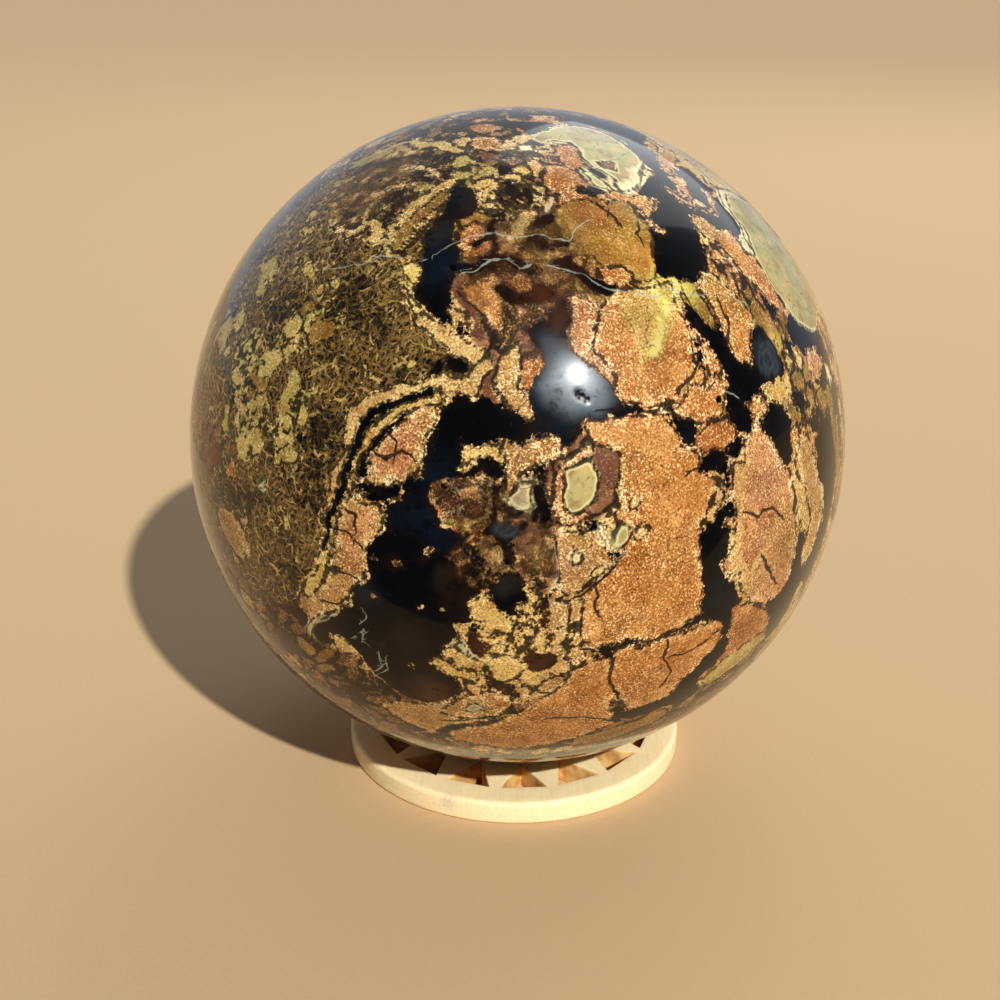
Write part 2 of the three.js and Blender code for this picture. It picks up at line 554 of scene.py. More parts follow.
def lay(kind, *places, seam=True):
    """Lays a broken piece of stone whose outline is azimuths and elevations in degrees. A piece
    without a seam has grown together with its neighbours."""
    corners = directions(places)
    near, middle = near_points(corners, REACH)
    depth = depth_inside(flatten(stray[near], middle), flatten(corners, middle))
    set_down(near, depth, STONE_NAMES.index(kind), seam)


def lay_ribbon(kind, width, *places, seam=True):
    """Lays a bent band of stone, a number of millimetres wide, along a line of places."""
    corners = directions(places)
    near, middle = near_points(corners, REACH)
    gap, _ = to_line(flatten(stray[near], middle), flatten(corners, middle), False)
    set_down(near, width / 2 - gap, STONE_NAMES.index(kind), seam)


def open_gap(width, *places):
    """Opens a gap along a line of places, or inside an outline if the width is none: there the
    depth turns negative, and the dark ground shows."""
    corners = directions(places)
    near, middle = near_points(corners, REACH)
    flat, flat_corners = flatten(stray[near], middle), flatten(corners, middle)
    if width is None:
        depth = depth_inside(flat, flat_corners)
    else:
        depth = width / 2 - to_line(flat, flat_corners, False)[0]
    edge[near] = np.where((depth > 0) | (edge[near] > 0), np.minimum(edge[near], -depth), edge[near])
    border[near] = np.minimum(border[near], np.abs(depth))


SCATTER = 0.32        # how far seeds stray from their even spread, as a share of the spacing
LIFT = 0.4            # how far the stone swells back into the gaps between pieces
OVERLAP = 0.3         # how far a bed may run past its patch, and the least depth of its open ground


def break_up(kinds, spacing, seed, gap, patch, stretch=1.0, course=(0, 0, 1)):
    """Fills a patch of the ball, given as the depth inside it, with seeded angular pieces: a point
    belongs to the nearest of a spread of seeds, and its depth is half the lead over the second,
    less the gap and plus the lift. Lengths along a course are shrunk by the stretch first, so that
    pieces come out long."""
    rng = np.random.default_rng(seed)
    count = int(4 * np.pi * (BALL / spacing) ** 2)
    rank = np.arange(count) + 0.5
    up = 1 - 2 * rank / count
    around = rank * np.pi * (1 + 5**0.5)
    level = np.sqrt(1 - up**2)
    seeds = np.stack([np.cos(around) * level, np.sin(around) * level, up], axis=-1)
    seeds += rng.normal(0, SCATTER * spacing / BALL, seeds.shape)
    seeds /= np.linalg.norm(seeds, axis=1, keepdims=True)
    choice = np.array([STONE_NAMES.index(kind) if kind else -1 for kind in kinds])
    choice = choice[rng.integers(0, len(choice), count)]
    course = np.array(course) / np.linalg.norm(course)
    squash = np.eye(3) - (1 - 1 / stretch) * np.outer(course, course)
    seeds = seeds @ squash
    gap = np.broadcast_to(gap, len(stray))
    for near in np.array_split(np.nonzero(patch > -2.5)[0], 40):
        point = stray[near] @ squash
        gaps = (point**2).sum(1)[:, None] + (seeds**2).sum(1) - 2 * point @ seeds.T
        gaps = np.sqrt(np.clip(gaps, 0, None)) * BALL
        first = gaps.argmin(axis=1)
        row = np.arange(len(near))
        lead = gaps[row, first]
        gaps[row, first] = np.inf
        depth = (gaps.min(axis=1) - lead) / 2 - gap[near]
        picked = choice[first]
        solid = np.where(picked < 0, -np.abs(depth) - OVERLAP, depth + LIFT)
        solid = np.minimum(solid, patch[near] + OVERLAP)
        within = patch[near] > 0
        stone[near] = np.where((picked >= 0) & (within | (edge[near] < solid)), picked, stone[near])
        border[near] = np.where(within, np.abs(depth), border[near])
        edge[near] = np.where(within, solid, np.maximum(edge[near], solid))


def patch_depth(*places):
    """Depth inside an outline of azimuths and elevations, in millimetres, and negative outside."""
    corners = directions(places)
    near, middle = near_points(corners, FAR)
    depth = np.full(len(stray), -FAR)
    depth[near] = depth_inside(flatten(stray[near], middle), flatten(corners, middle))
    return np.maximum(depth, -FAR)


def spread(azimuth, elevation, radius, soft=0.5):
    """1 at a place, falling to 0 at a radius in millimetres, over the outer soft share of it."""
    arc = np.arccos(np.clip(stray @ outward(azimuth, elevation), -1, 1)) * BALL
    share = np.clip((radius - arc) / (radius * soft), 0, 1)
    return share * share * (3 - 2 * share)


def region(*places, soft=2.0):
    """1 inside an outline and 0 outside it, with a smooth rise over a few millimetres."""
    share = np.clip(patch_depth(*places) / soft + 0.5, 0, 1)
    return share * share * (3 - 2 * share)


# The hidden sides: long slabs to the right and behind with shattered stone between them, brown and
# tan ones low down, and the moss going on round the left.
azimuth = np.degrees(np.arctan2(stray[:, 0], -stray[:, 1]))
elevation = np.degrees(np.arcsin(np.clip(stray[:, 2], -1, 1)))
behind = (0.4 - stray @ outward(0, 14)) * BALL
TILT = np.array([outward(0, 35), outward(70, -20), np.cross(outward(0, 35), outward(70, -20))]).T
tilted = millimetres @ TILT
opened = np.clip(lattice_noise(tilted, 16, 4) * 3, 0, 1)
SLABS = ("orange", "orange", "pink", "tan", "olive", "rust", "orange", None, "gold", "green", None)
break_up(SLABS, 17.0, 3, 0.4 + 1.2 * opened, behind, 1.5, (0.3, 0.5, 1.0))
shattered = np.minimum(behind, (lattice_noise(tilted, 18, 6) - 0.12) * 12)
break_up(("pink", "orange", "cream", "olive", None, "rust", None), 5.0, 6, 0.35, shattered, 1.3)
crumbled = np.minimum(behind, (lattice_noise(tilted, 15, 8) - 0.4) * 12)
break_up(("gold", "brown", "olive", None, "maroon"), 3.2, 8, 0.2, crumbled, 1.4, (1, 0, 0.5))
LOW_DOWN = ("tan", "brown", "rust", "tan", "gold", "brown", "tan", "olive")
break_up(LOW_DOWN, 8.0, 5, 0.15, (-38 - elevation) * BALL / 57.3, 2.4, (1, 0.3, 0))

# Beds of rubble between the big slabs. Each has its kinds of stone, the size of its pieces, the gap
# between them, how far they are drawn out, and the outline of its patch. A kind that is none leaves
# the ground showing.
BEDS = [
    (("gold", "brown", "rust", "cream", "maroon", "olive", None), 3.4, 0.15, 1.25,
     (-100, 60, -60, 56, -30, 62, 0, 66, 12, 69, 2, 73, -5, 77, -20, 84, -120, 84)),
    (("brown", "tan", "brown", "olive", "brown", None), 3.6, 0.1, 2.6,
     (-62, -12, -40, -15, -36, -19, -27, -21, -20, -28, -8, -29, 2, -26, 8, -22, 16, -30, 20, -34,
      34, -34, 40, -29, 50, -24, 70, -30, 60, -48, 0, -56, -60, -46)),
    (("gold", "cream", "olive", "maroon", None, "tan", "brown"), 2.8, 0.1, 1.25,
     (-16, 66, -1, 70, 8, 68, 11, 58, 6, 49, -5, 47, -13, 50)),
    (("olive", "brown", "brown", "rust", "olive", None), 4.2, 0.05, 1.25,
     (-18, 53, -12, 55, 4, 52, 9, 57, 19, 57, 22, 41, 16, 38, 13, 41, 6, 40, -3, 41, -11, 43, -15, 45)),
    (("pink", "olive", None, "rust", None), 3.0, 0.4, 1.25,
     (44, 46, 51, 46, 52, 38, 50, 35, 45, 37, 43, 41)),
    (("olive", "gold", None, "olive", "brown"), 3.2, 0.2, 1.25,
     (51, 27, 57, 27, 59, 18, 56, 12, 50, 14)),
    (("olive", "brown", None, "brown", None, "sallow", None), 2.4, 0.2, 2.6,
     (-66, 56, -50, 50, -32, 47, -22, 44, -18, 52, -16, 60, -22, 68, -48, 66)),
    (("brown", "ember", None, "olive", None, None, None), 2.2, 0.15, 1.25,
     (-10, 1, -8, 3, -6, 5, -4, 5, -3, 3, -3, 0, -4, -3, -6, -3.5, -8, -1)),
    (("brown", "brown", "maroon", None), 3.0, 0.05, 1.25,
     (-1, 7, 4, 7, 5, 4, 4, 0, 3, -3, 1, -1, -1, 2)),
    (("ember", "brown", "ember", "rust", None), 2.4, 0.2, 1.25,
     (-13, 12, -8, 13.6, -3.6, 12.4, -3, 8.6, -5, 6.4, -9, 6, -11.6, 8.6)),
    (("tan", "gold", "tan", "cream", "tan", "tan"), 3.0, 0.0, 1.25,
     (5.4, -4.6, 9.5, -4.6, 10.4, -9, 9.9, -14, 9.9, -18.4, 8.4, -22, 3.6, -24, 0.4, -24.6, -0.3, -22.6,
      0, -20.4, 1.5, -19.2, 4.4, -18.5, 5.9, -16.4, 5.5, -13, 4.4, -9)),
    (("brown", "maroon", "brown", None), 4.0, 0.1, 1.25,
     (-10, 41, -5, 43, 6, 41, 10, 41, 8, 35, 4, 31, 1, 28, -3, 30, -5, 27, -8, 34)),
]
for number, (kinds, spacing, gap, stretch, patch) in enumerate(BEDS):
    break_up(kinds, spacing, 20 + number, gap, patch_depth(*patch), stretch, (0.7, -0.3, 0.64))

# Top: the pale green lens with its rust spot, the orange chips beside it and the gold of the left.
lay_ribbon("sallow", 3.0, -74, 58, -68, 60, -63, 63, -60, 66)
lay_ribbon("cream", 1.6, -57, 66, -52, 66.5, -47, 66)
lay_ribbon("gold", 2.2, -56, 69, -46, 68.5, -38, 69, -29, 67.6)
lay_ribbon("tan", 1.2, -44, 60, -40, 62, -35, 62.8, -30, 62, -25, 61)
lay_ribbon("olive", 0.8, -62, 57, -54, 60, -46, 62)
lay_ribbon("olive", 0.7, -58, 52, -50, 56, -45, 57)
lay_ribbon("gold", 1.1, -44, 55.5, -40, 58, -36, 58.4)
lay_ribbon("tan", 1.3, -41.5, 56, -40.5, 53.5, -39.6, 51.6)
lay_ribbon("olive", 0.7, -37, 52, -35, 55, -31, 57)
lay("sallow", -28, 64, -25, 67, -21, 66, -21, 64, -24, 63)
lay("orange", -26, 70, -16, 69, -10, 71, -14, 74, -26, 74)
lay("sallow", -17, 62.3, -15, 65, -11, 65, -10.3, 63, -13, 62, -15, 60.6)
lay("gold", -15, 60.3, -12, 62, -9.5, 61, -11, 58.8, -14, 57.6)
lay("rust", 9, 65, 19, 64, 19, 60, 11, 58, 7, 60)
lay("orange", 2, 65, 5, 68, 8, 65, 6, 62, 4, 62)
open_gap(None, 38, 79, 60, 81, 90, 78, 86, 68, 70, 68, 56, 66, 48, 60, 40, 57, 36, 57, 42, 61, 52, 66,
    56, 73)
lay("green", 2, 73, 14, 76, 41, 77, 55, 73.5, 52, 67, 47, 63, 41, 59.6, 34, 57, 31, 57.6, 30, 61,
    27, 64, 28, 68, 25.5, 71, 17, 71.4, 9, 71)
lay("pearl", 31, 57.6, 34, 57, 41, 59.6, 46, 62.4, 42, 62, 36, 60, 31.5, 60, seam=False)
lay("green", 20.4, 62.6, 22, 59.8, 26, 58.6, 28.5, 58.6, 25, 61, 22.4, 63)
lay("rust", 14, 70, 25, 70.4, 27, 66.6, 23, 64, 18.4, 63, 13, 66)
lay("maroon", 31, 65.2, 37, 63.4, 34.4, 62, 31, 63)
lay("pearl", -4, 71, 4, 71.4, 3, 69, -3, 69)
lay("cream", 29.6, 60, 30.8, 61, 31, 59.4, 30, 58.6)
lay("orange", 53, 60.5, 56, 63.4, 62, 65, 72, 65.6, 79, 64, 70, 62, 62, 60, 58, 60)
lay("pink", 50, 55.6, 52.5, 58.2, 56, 59.6, 58.5, 58, 55, 56.2, 52, 55)
lay("tan", 42, 60, 45, 61.5, 47.5, 61, 46, 59.6)
lay_ribbon("pink", 0.8, 46, 56, 47.5, 54.6, 50, 53.2, 53.4, 52.2)
lay("pink", 55.4, 50.6, 58, 52.8, 62, 54.4, 65.5, 54, 62, 52.3, 58, 50.8)
lay_ribbon("rose", 1.4, 69, 56.5, 73, 57.5, 77, 60)
lay("green", 57.5, 41, 61, 45, 64, 49, 67, 52, 72, 53.5, 79, 51.5, 86, 48, 82, 42, 85, 34, 77, 27,
    66, 26, 61, 28.5, 58, 31.5, 57, 35, 57.2, 38.5)
lay_ribbon("pearl", 1.5, 65, 50.2, 68, 52.4, 72, 53.4, 78, 51.6)
lay_ribbon("pearl", 0.9, 57.8, 41, 59.5, 43.3, 62, 46.6)

# Upper left: golden ribbons and clumps at the edge of the moss, then chips above the middle.
lay_ribbon("gold", 2.3, -30.5, 50.5, -28, 54, -25, 57, -21.5, 60.4)
lay_ribbon("sallow", 1.5, -29, 45.6, -30.5, 48, -31.4, 50)
lay_ribbon("olive", 2.2, -27.4, 46.6, -27, 50, -25, 53.6, -22, 57)
lay_ribbon("gold", 0.9, -25.4, 46.6, -24.4, 50.5, -22.6, 54)
lay("gold", -39.5, 50.6, -36, 51, -33.4, 48.8, -33.4, 46.6, -35, 46, -37, 48, -39.5, 49.3)
lay("sallow", -50, 50.8, -47.2, 51, -45.6, 49.2, -48.6, 47.8)
lay_ribbon("tan", 1.3, -46, 48.6, -42.6, 48, -39.6, 49)
lay("gold", -23, 44, -21, 46, -20, 41, -19, 38, -17, 35, -19, 35, -20, 38, -22, 41, -25, 43)
lay("cream", -23, 40, -22, 40, -21, 38, -22, 38)
lay("cream", -14, 37.6, -12, 38, -10, 37, -10, 35, -12, 35.4)
lay("orange", -9, 42, -5, 42, -3, 39, -3, 36, -4, 32, -6, 35, -8, 37, -11, 40)
lay("tan", -4, 31, -1, 32, 0, 30, 0, 26, 2, 24, 2, 22, 1, 21, -1, 23, -3, 25, -4, 28)
lay("rust", 0, 30.6, 3.6, 30.6, 3.2, 28.4, 1.6, 26.8, 0.6, 28, seam=False)
lay("pink", 0, 38, 2, 37, 3, 36, 0, 36)
lay("maroon", -12.6, 42, -10.4, 41, -8, 37.6, -5, 33, -3.7, 28, -3.6, 24, -5, 26, -7, 31, -10, 37,
    seam=False)
lay("pink", 9, 40, 12, 39, 15, 37, 13, 34, 14, 32, 13, 30, 15, 27, 14, 26, 11, 26, 9, 29, 9, 33)
lay("rust", -15, 50, -10, 52, -3, 49, -4, 46, -9, 45, -14, 46)
lay("rust", -3, 42.4, 0, 43.5, 2.5, 42.6, 2.2, 40, -1, 39.8)
lay("olive", 0.5, 46, 2, 49, 5, 48.4, 7.5, 45.6, 5, 44.4, 2, 44.2, seam=False)
lay("olive", 9.6, 42.6, 11.5, 43, 13.4, 44.8, 14, 41.4, 11.5, 40, 9.8, 40.6)
lay("rust", 10, 44, 13, 44, 15, 42, 12, 40)
lay("cream", -2, 54.6, 1, 55.2, 4, 54.6, 2, 52, 0.8, 50, -0.6, 49.6, -1.4, 47, -2.6, 49, -2.2, 52)
lay("rose", 5, 54, 8, 57.6, 10.6, 57.6, 10, 56, 8, 54.4, 6, 52.2)
lay("sallow", -0.5, 60.2, 2, 60.6, 3, 58.8, 1.4, 57.7)
lay("sallow", 3.4, 60, 7.6, 60, 7, 58, 5, 58)
lay("sallow", 1, 56, 3, 57.4, 5.2, 57.2, 4, 56, 2, 55.8)
lay("cream", -8.4, 58.4, -6, 60.2, -5.4, 59.4, -7, 57.6)
lay("cream", -8, 55.4, -6.6, 56.8, -5.6, 55.6, -7, 54.8)
lay("rose", -7.4, 49.6, -6, 51.4, -4.4, 50.4, -5, 48.6, seam=False)

# Middle top and right: the olive and orange slabs that lie one above the other.
lay("olive", 8, 53, 12, 56, 17, 57, 21, 55, 24, 55, 28, 56, 30, 54, 29, 52, 31, 49, 30, 46, 28, 43,
    27, 41, 25, 41, 22, 41, 20, 43, 17, 44, 15, 46, 12, 46, 9, 48)
lay("rust", 16, 44, 20, 44, 23, 42, 22, 41, 18, 40, 16, 42)
lay("orange", 22, 57, 28, 58, 33, 56, 40, 55, 36, 53, 33, 51, 35, 49, 34, 49, 32, 52, 30, 55)
lay("orange", 12, 31, 14, 35, 15, 38, 18, 40, 22, 40, 26, 40, 29, 40, 29, 36, 30, 32, 30, 28, 32, 26,
    31, 25, 28, 25, 27, 23, 24, 22.6, 20, 22.6, 16, 23, 14, 25, 15, 28)
lay("gold", 18.4, 38.4, 22, 40, 29, 40, 29, 36, 26.4, 33, 24, 30, 20, 29, 19.4, 33, seam=False)
lay_ribbon("pearl", 1.3, 26.6, 38, 25.6, 36, 24.6, 34, 23.8, 32, 23, 30, seam=False)
lay("orange", 45, 50, 46.5, 51.5, 50, 50, 51.5, 48, 54, 47.6, 56, 47.4, 56, 42.5, 58, 40.5, 57, 36,
    57, 31.5, 55, 31.5, 53.5, 34, 52.5, 37, 50, 39, 50, 42, 48.5, 45, 46.5, 46.5, 45.5, 48.5)
lay("orange", 42.8, 43, 44.4, 44.6, 46.6, 45, 47, 43.6, 45, 43)
lay("pearl", 56.4, 43.2, 56.8, 44.8, 58.3, 45.3, 59.4, 44, 58.6, 42.3, 57.2, 42)
lay("olive", 53.4, 31, 55, 28.3, 56.6, 30, 55.6, 31.6)
lay("orange", 36, 40, 39, 42, 41, 42, 43, 39, 45, 36, 46, 33, 44, 31, 42, 28, 41, 26, 39, 27, 38, 30,
    38, 36)
lay("olive", 46, 36, 49, 36, 51, 33, 53, 29, 53, 27, 52, 26, 50, 28, 48, 30, 46, 33)
lay("olive", 31, 40, 34, 41, 36, 38, 37, 35, 36, 32, 34, 34, 32, 37)
lay("orange", 25.5, 21, 26, 23, 29, 25, 31, 24, 33, 25, 35, 24, 34, 22, 33, 20, 31, 19.5, 29, 19,
    27, 20)
lay("orange", 31, 32, 33, 30, 35, 28, 35, 26, 33, 26, 32, 29)
lay("rust", 28, 17, 31, 19, 34, 20, 35, 18, 36, 16, 33, 15, 30, 15)
lay("orange", 38, 20, 41, 21, 43, 19, 42, 17, 40, 18)
lay("gold", 43, 22, 47, 23, 49, 22, 50, 19, 49, 17, 47, 19, 44, 20)
lay("orange", 48, 14, 50, 15, 53, 14, 55, 11, 54, 8, 52, 9, 50, 10, 48, 10)
lay("pink", 59, 23, 61, 24.6, 64, 24, 65, 21, 62, 19.6, 60, 20.6)
lay("pearl", 65, 18.4, 66, 20, 67.6, 19, 67, 17.2)
lay("olive", 58, 17.4, 61, 18, 63, 15, 60, 13)
lay("tan", 51, 14, 53, 12, 55, 6, 58, 2, 60, -3, 58, -8, 55, -10, 53, -8, 54, -1, 51, 4, 49, 9)
lay("gold", 47, 9, 49, 7, 51, 5, 53, 0, 54, -2, 53, -4, 51, -2, 49, 1)

# Right: the long pink slab, and the olive and cream pieces beneath it.
lay("pink", 34, 13, 36, 12, 37, 15, 39, 17, 41, 15, 43, 13, 45, 10, 47, 9, 48, 6, 48, 2, 49, -2, 50, -6,
    50, -10, 48, -13, 44, -13, 40, -12, 37, -9, 36, -6, 34, -5, 32, -3, 34, -1, 34, 5, 33, 8)
lay("cream", 34, 12.6, 36, 13, 37, 12, 36, 8, 35.4, 4, 35.4, -1, 36.4, -4, 38.6, -8, 40, -11, 38, -11,
    36, -7, 34, -4, 34, 2, 34, 8, seam=False)
lay("cream", 42, 2, 45, 4, 47, 2, 46, -1, 42, -4, 40, -7, 39.6, -10, 38, -9, 39, -5, 41, -2, seam=False)
lay("tan", 46, -1, 49, 0, 50, -2, 47, -6, 44, -8, 42, -9, 43, -5, seam=False)
lay("rust", 36, -12, 39, -12, 42, -13, 46, -15, 48, -19, 47, -23, 42, -25, 38, -28, 35, -27, 37, -24,
    39, -21, 37, -18)
lay_ribbon("olive", 3.4, 64, 15, 66, 7, 68, -3)
lay_ribbon("cream", 1.8, 71, 12, 73, 3, 72.4, -7)
lay_ribbon("tan", 3.2, 66, -8, 64, -15, 60, -22, 54, -29)
lay_ribbon("sallow", 1.8, 57, -15, 55.6, -20, 52, -25)
lay("cream", 28.5, 5, 29.5, 11, 31.4, 11.6, 31.6, 8.6, 30.6, 6.4, 29.8, 4.4)
lay("orange", 31.6, 3.2, 32.4, 4.6, 34.2, 4, 33.8, 2.8)
lay("sallow", 36, -28, 37, -26, 39, -23.4, 43, -22, 48, -21, 49, -23.4, 46, -25.6, 42, -28, 38, -30)

# Middle: the great orange slab, the granular tan along its left side, and the slabs below it.
lay("tan", 5, 5, 9, 5, 12, 6, 13, 2, 14, 0, 12, -1, 9, -3, 7, -4, 5, -3)
lay("orange", 10, 20, 14, 21, 19, 21, 23, 22, 24, 20, 25, 17, 29, 15, 28, 12, 31, 11, 30, 7.5, 28, 5,
    28, -5, 29, -9, 30, -11.5, 26, -12, 22, -14, 17, -13.5, 12, -15, 9.5, -13, 9.5, -4, 13.5, -1,
    15.5, 2, 13.5, 8, 14, 14, 11, 17)
lay("orange", 15, -15.5, 20, -15, 25, -14, 30, -13, 33.5, -14, 35, -19, 32, -23, 29.5, -25, 29, -29,
    25, -30, 21, -31, 19, -29, 17, -26, 15.5, -23, 14.5, -19)
lay("olive", 10, -39, 18, -37, 24, -35, 29, -33, 32, -36, 27, -39, 20, -42, 12, -43)
lay("orange", 8, -19, 12, -17, 14.5, -18, 15.5, -23, 17.5, -27, 17, -31, 20, -34, 14, -37, 8, -40,
    0, -42, -8, -41, -14, -39, -12, -36, -6, -33, -1, -30, 1, -27, 4, -25, 7, -22)
lay("tan", -22, -29, -16, -28, -12, -26, -9, -23, -6, -22, -3, -24, -1.5, -27, -3, -30, -8, -33,
    -13, -35, -17, -38, -23, -35, -26, -31)
lay("pearl", 7, 2, 7.8, 3, 8.8, 2.3, 8.2, 1, 7.2, 1)
lay("cream", 9.6, -1.8, 10.4, 0, 11.8, 0.4, 12.2, -0.6, 11, -1.6)
lay("cream", 12.4, 8, 13, 9.4, 14, 8.6, 13.4, 7.6)
lay("cream", 15, 8.6, 15.6, 10, 16.8, 9.4, 16.4, 8.2)
open_gap(None, 16, -26, 17, -29, 18, -33, 21, -34, 21, -32, 18, -29)

# Round the middle: small clasts about the two pale chips, the right one in a maroon bed.
lay("gold", -8.5, 18, -6.5, 17, -4, 18, -3, 17.5, -3, 16, -6, 15.7, -9, 15)
lay("tan", -2.6, 18, 0, 18, 1.5, 19, 3.5, 20, 6, 20, 6, 17.5, 4, 16, 2.5, 15, 0.5, 14, -1, 11.5,
    -2.4, 11, -2, 14)
lay("maroon", 5, 16.5, 7.5, 17.5, 10, 18, 13, 17.5, 14.5, 16.5, 14, 12, 13, 9.5, 11, 8, 8, 6.5, 5.5, 7,
    4.5, 10, 4.6, 14)
lay("grey", -1.8, 11, 0.3, 13, 2.2, 13, 2.6, 10.5, 1.8, 9.3, 0, 9.6)
lay("green", 13.3, 5.3, 14.5, 6.6, 16, 6.2, 16.3, 4.6, 15, 3, 13.8, 3)
lay("cream", 17, 6, 18.6, 5, 18, 4, 17, 3.6)
lay("ember", -12, 10, -9, 12, -6, 12.5, -5, 10, -6, 8, -8, 8.5, -11, 8)
lay_ribbon("gold", 0.8, -11, 7.5, -8.5, 6.8, -6, 7.2, -4, 8.5)
lay_ribbon("pink", 1.5, 10, 7.8, 7, 6.8, 5.2, 8.5, 5, 12, 6, 14.6, 8, 16.6, 10, 17)
lay("green", 6.6, 15, 10, 16, 11, 13, 11, 10.5, 9, 8.6, 7, 8, 5.7, 9, 5.5, 11.5, 6.6, 13)

# The milky chalcedony, painted paler round the highlight as a glow of light, runs up from the pits, and
# thin black gaps part the smoky stones above it.
open_gap(None, 0.4, 33.6, 3, 35.6, 5.4, 37.4, 6.6, 39.6, 8.2, 39, 9, 36, 8.8, 33, 9.6, 30, 12.5, 27.5,
    15, 25, 12, 22.6, 6, 22, 3.4, 25, 4.2, 28.6, 3.4, 31, 1.4, 32)
open_gap(2.4, -3.6, 40.7, -1, 39.3, 2, 39, 4.4, 40.4)
open_gap(2.0, -12, 44, -9, 44, -5, 45.4, -1, 45, 3, 44)
open_gap(2.6, 4.6, 52, 7, 52.6)
open_gap(1.8, 3, 48.8, 6, 48.4, 10, 49)
open_gap(2.4, 8, 45, 10, 44.6, 14, 41.6, 17, 40.6)
open_gap(1.6, -6, 49.2, -8.6, 48.4, -10, 47.8)
open_gap(1.4, -4, 54, -6, 51.6, -4.6, 47, -6, 44)
open_gap(1.6, 2, 57, 1, 59, -3, 58, -4, 61)
open_gap(None, -20, 60, -14, 59.4, -10, 56.4, -12, 53, -16.4, 51.4, -16, 48, -12, 46, -13, 43.6,
    -16, 42, -17.6, 38, -19.4, 40, -20.6, 43.5, -24.4, 46.4, -22, 50, -20.6, 54)
open_gap(1.2, -13, 14.6, -8, 14, -4, 14.4)
open_gap(1.4, -3.6, 12, -4, 8, -2, 5.4, 2.6, 7.6)
open_gap(1.6, 2.6, 12, 3.6, 9, 3.4, 6.6)

# Lower middle: the gold cluster and the crumbs above it, in smooth chocolate jasper.
lay("cream", -6, 3.6, -4.6, 3.4, -3, 2.4, -3.4, 1, -1.4, -0.2, -3, -0.5, -4.6, 0.6, -4.8, 2)
lay("cream", 1.4, 2.6, 2, 3.2, 2.6, 2, 2.2, 1.2, 1.6, 1.6)
lay("cream", 3.6, 5, 5, 5, 4.6, 3.2, 3.4, 1.4, 3.4, 3)
lay("tan", 2, 0, 3.4, 0, 4, -2.6, 3, -2.8)
lay("gold", 1.2, -3.4, 2, -3, 3.4, -3.8, 2.6, -5, 2.8, -7, 1.6, -7.8, 0.4, -6.4, 1.6, -5)
lay("gold", -6.6, -6, -5.4, -5, -3.6, -5.4, -2.4, -7.4, -1.4, -9.6, -2, -11.6, -3.8, -11, -5, -12,
    -5.6, -11.8, -5, -9.8, -6.9, -9)
lay("gold", -9.4, -9.8, -7.6, -10.2, -6.6, -11.2, -7.6, -12.2, -9, -12.7)
lay("gold", -1.2, -8.5, 0.2, -9.9, 1.6, -10.3, 1.4, -11.6, 0, -11.5, -0.7, -10.2)
lay("gold", 1, -8.4, 1.9, -8.6, 2.3, -10.2, 1.6, -10.4)
lay("gold", 1.8, -12, 3.2, -12, 4.2, -13.6, 3, -14.5, 2, -13.6)
lay_ribbon("gold", 0.6, -2, -12.3, -1.3, -14.4, 0.3, -12.9, 0.9, -11.8)
lay("gold", -4.6, -14, -3.4, -12.6, -2.5, -13.2, -2.7, -14.8, -4, -14.7)
lay("gold", -11.3, -15.5, -9.5, -14.7, -7, -15.5, -4.9, -16, -5.2, -18.5, -7.5, -18.4, -9.6, -17.8)
lay("grey", -9.4, -14.2, -8.5, -13.3, -7.2, -14, -6.2, -15.3, -8, -15.3)
lay("gold", -4.8, -15.6, -3, -15, -0.7, -15.4, 0.5, -17, 0, -18.8, -2.3, -20.7, -4.3, -20.4, -4.8, -18)
lay("gold", -14.4, -17.6, -13, -16.4, -11, -17.5, -9, -18.9, -6.9, -18.9, -6.3, -20.8, -8, -21.4,
    -10, -20.3, -12, -19.8)
lay("tan", -9.6, -21.4, -8.5, -24, -6.1, -24.6, -6, -22.6, -7.6, -21.6)
lay("tan", -13.6, -30, -11.6, -26.4, -9, -24.8, -5, -23.7, -2.5, -23.6, -1.2, -25, -1.5, -27.6, -4, -30,
    -9, -31)
lay("rust", -4.6, -24.6, -2.4, -24.6, -1.8, -26.6, -3.6, -27, seam=False)
lay("grey", -9.2, -27.5, -7, -26.5, -5.7, -27.5, -7.2, -29, -9, -28.9)
CRUMBS = [(-14, 1.3), (-20.5, -0.4), (-17.9, -0.6), (-22.7, -6.5), (-11.2, -7), (-15, -7.5),
          (-1, -14.3), (-18, -19), (-27, -20), (1.6, -12.6), (-8, 9), (-13.4, 2.4)]
for east, north in CRUMBS:
    lay("cream", east - 0.2, north - 0.3, east + 0.2, north - 0.2, east + 0.3, north + 0.1,
        east - 0.1, north + 0.3)

# Left: the pink slab and the tan one, long and thin, with gold ribbons folded round them.
lay("tan", -26, 10, -25, 14, -22.5, 18, -17, 21, -13, 24, -12, 22, -14, 18, -15, 13, -17, 11.5, -20, 12,
    -22, 10.5, -24, 8.5)
lay("pink", -24.5, 12.5, -22.5, 16.5, -19, 19, -16.5, 21.5, -15, 21, -15.3, 18, -16.5, 13.5, -18, 12.5,
    -20.5, 13, seam=False)
lay("gold", -20, 11.5, -18, 11.5, -17.5, 9.5, -19.5, 9)
lay("tan", -26, 9, -24.5, 7.5, -21, 8, -20, 6, -20.5, 3.5, -22, 1, -23, -2.5, -25, -5, -26, -6, -27, -9,
    -31, -12, -35, -14, -37.5, -12, -35.5, -8, -32.5, -4.5, -30, 0, -28.5, 4, -27.5, 8)
lay("pink", -25, 6.4, -21.5, 7, -21.4, 4, -23.5, 2.6, -25.4, 3.4, seam=False)
lay("pink", -27.6, 2, -23.5, 1.5, -24.5, -3, -28.4, -4, seam=False)
lay("grey", -37, -17, -34, -13.5, -30.5, -12, -30, -11, -31.5, -13, -34, -15, -36, -18.5)
lay("gold", -32, -16.5, -30, -15.5, -28.5, -17, -27.5, -18.5, -30, -20, -31.5, -19)
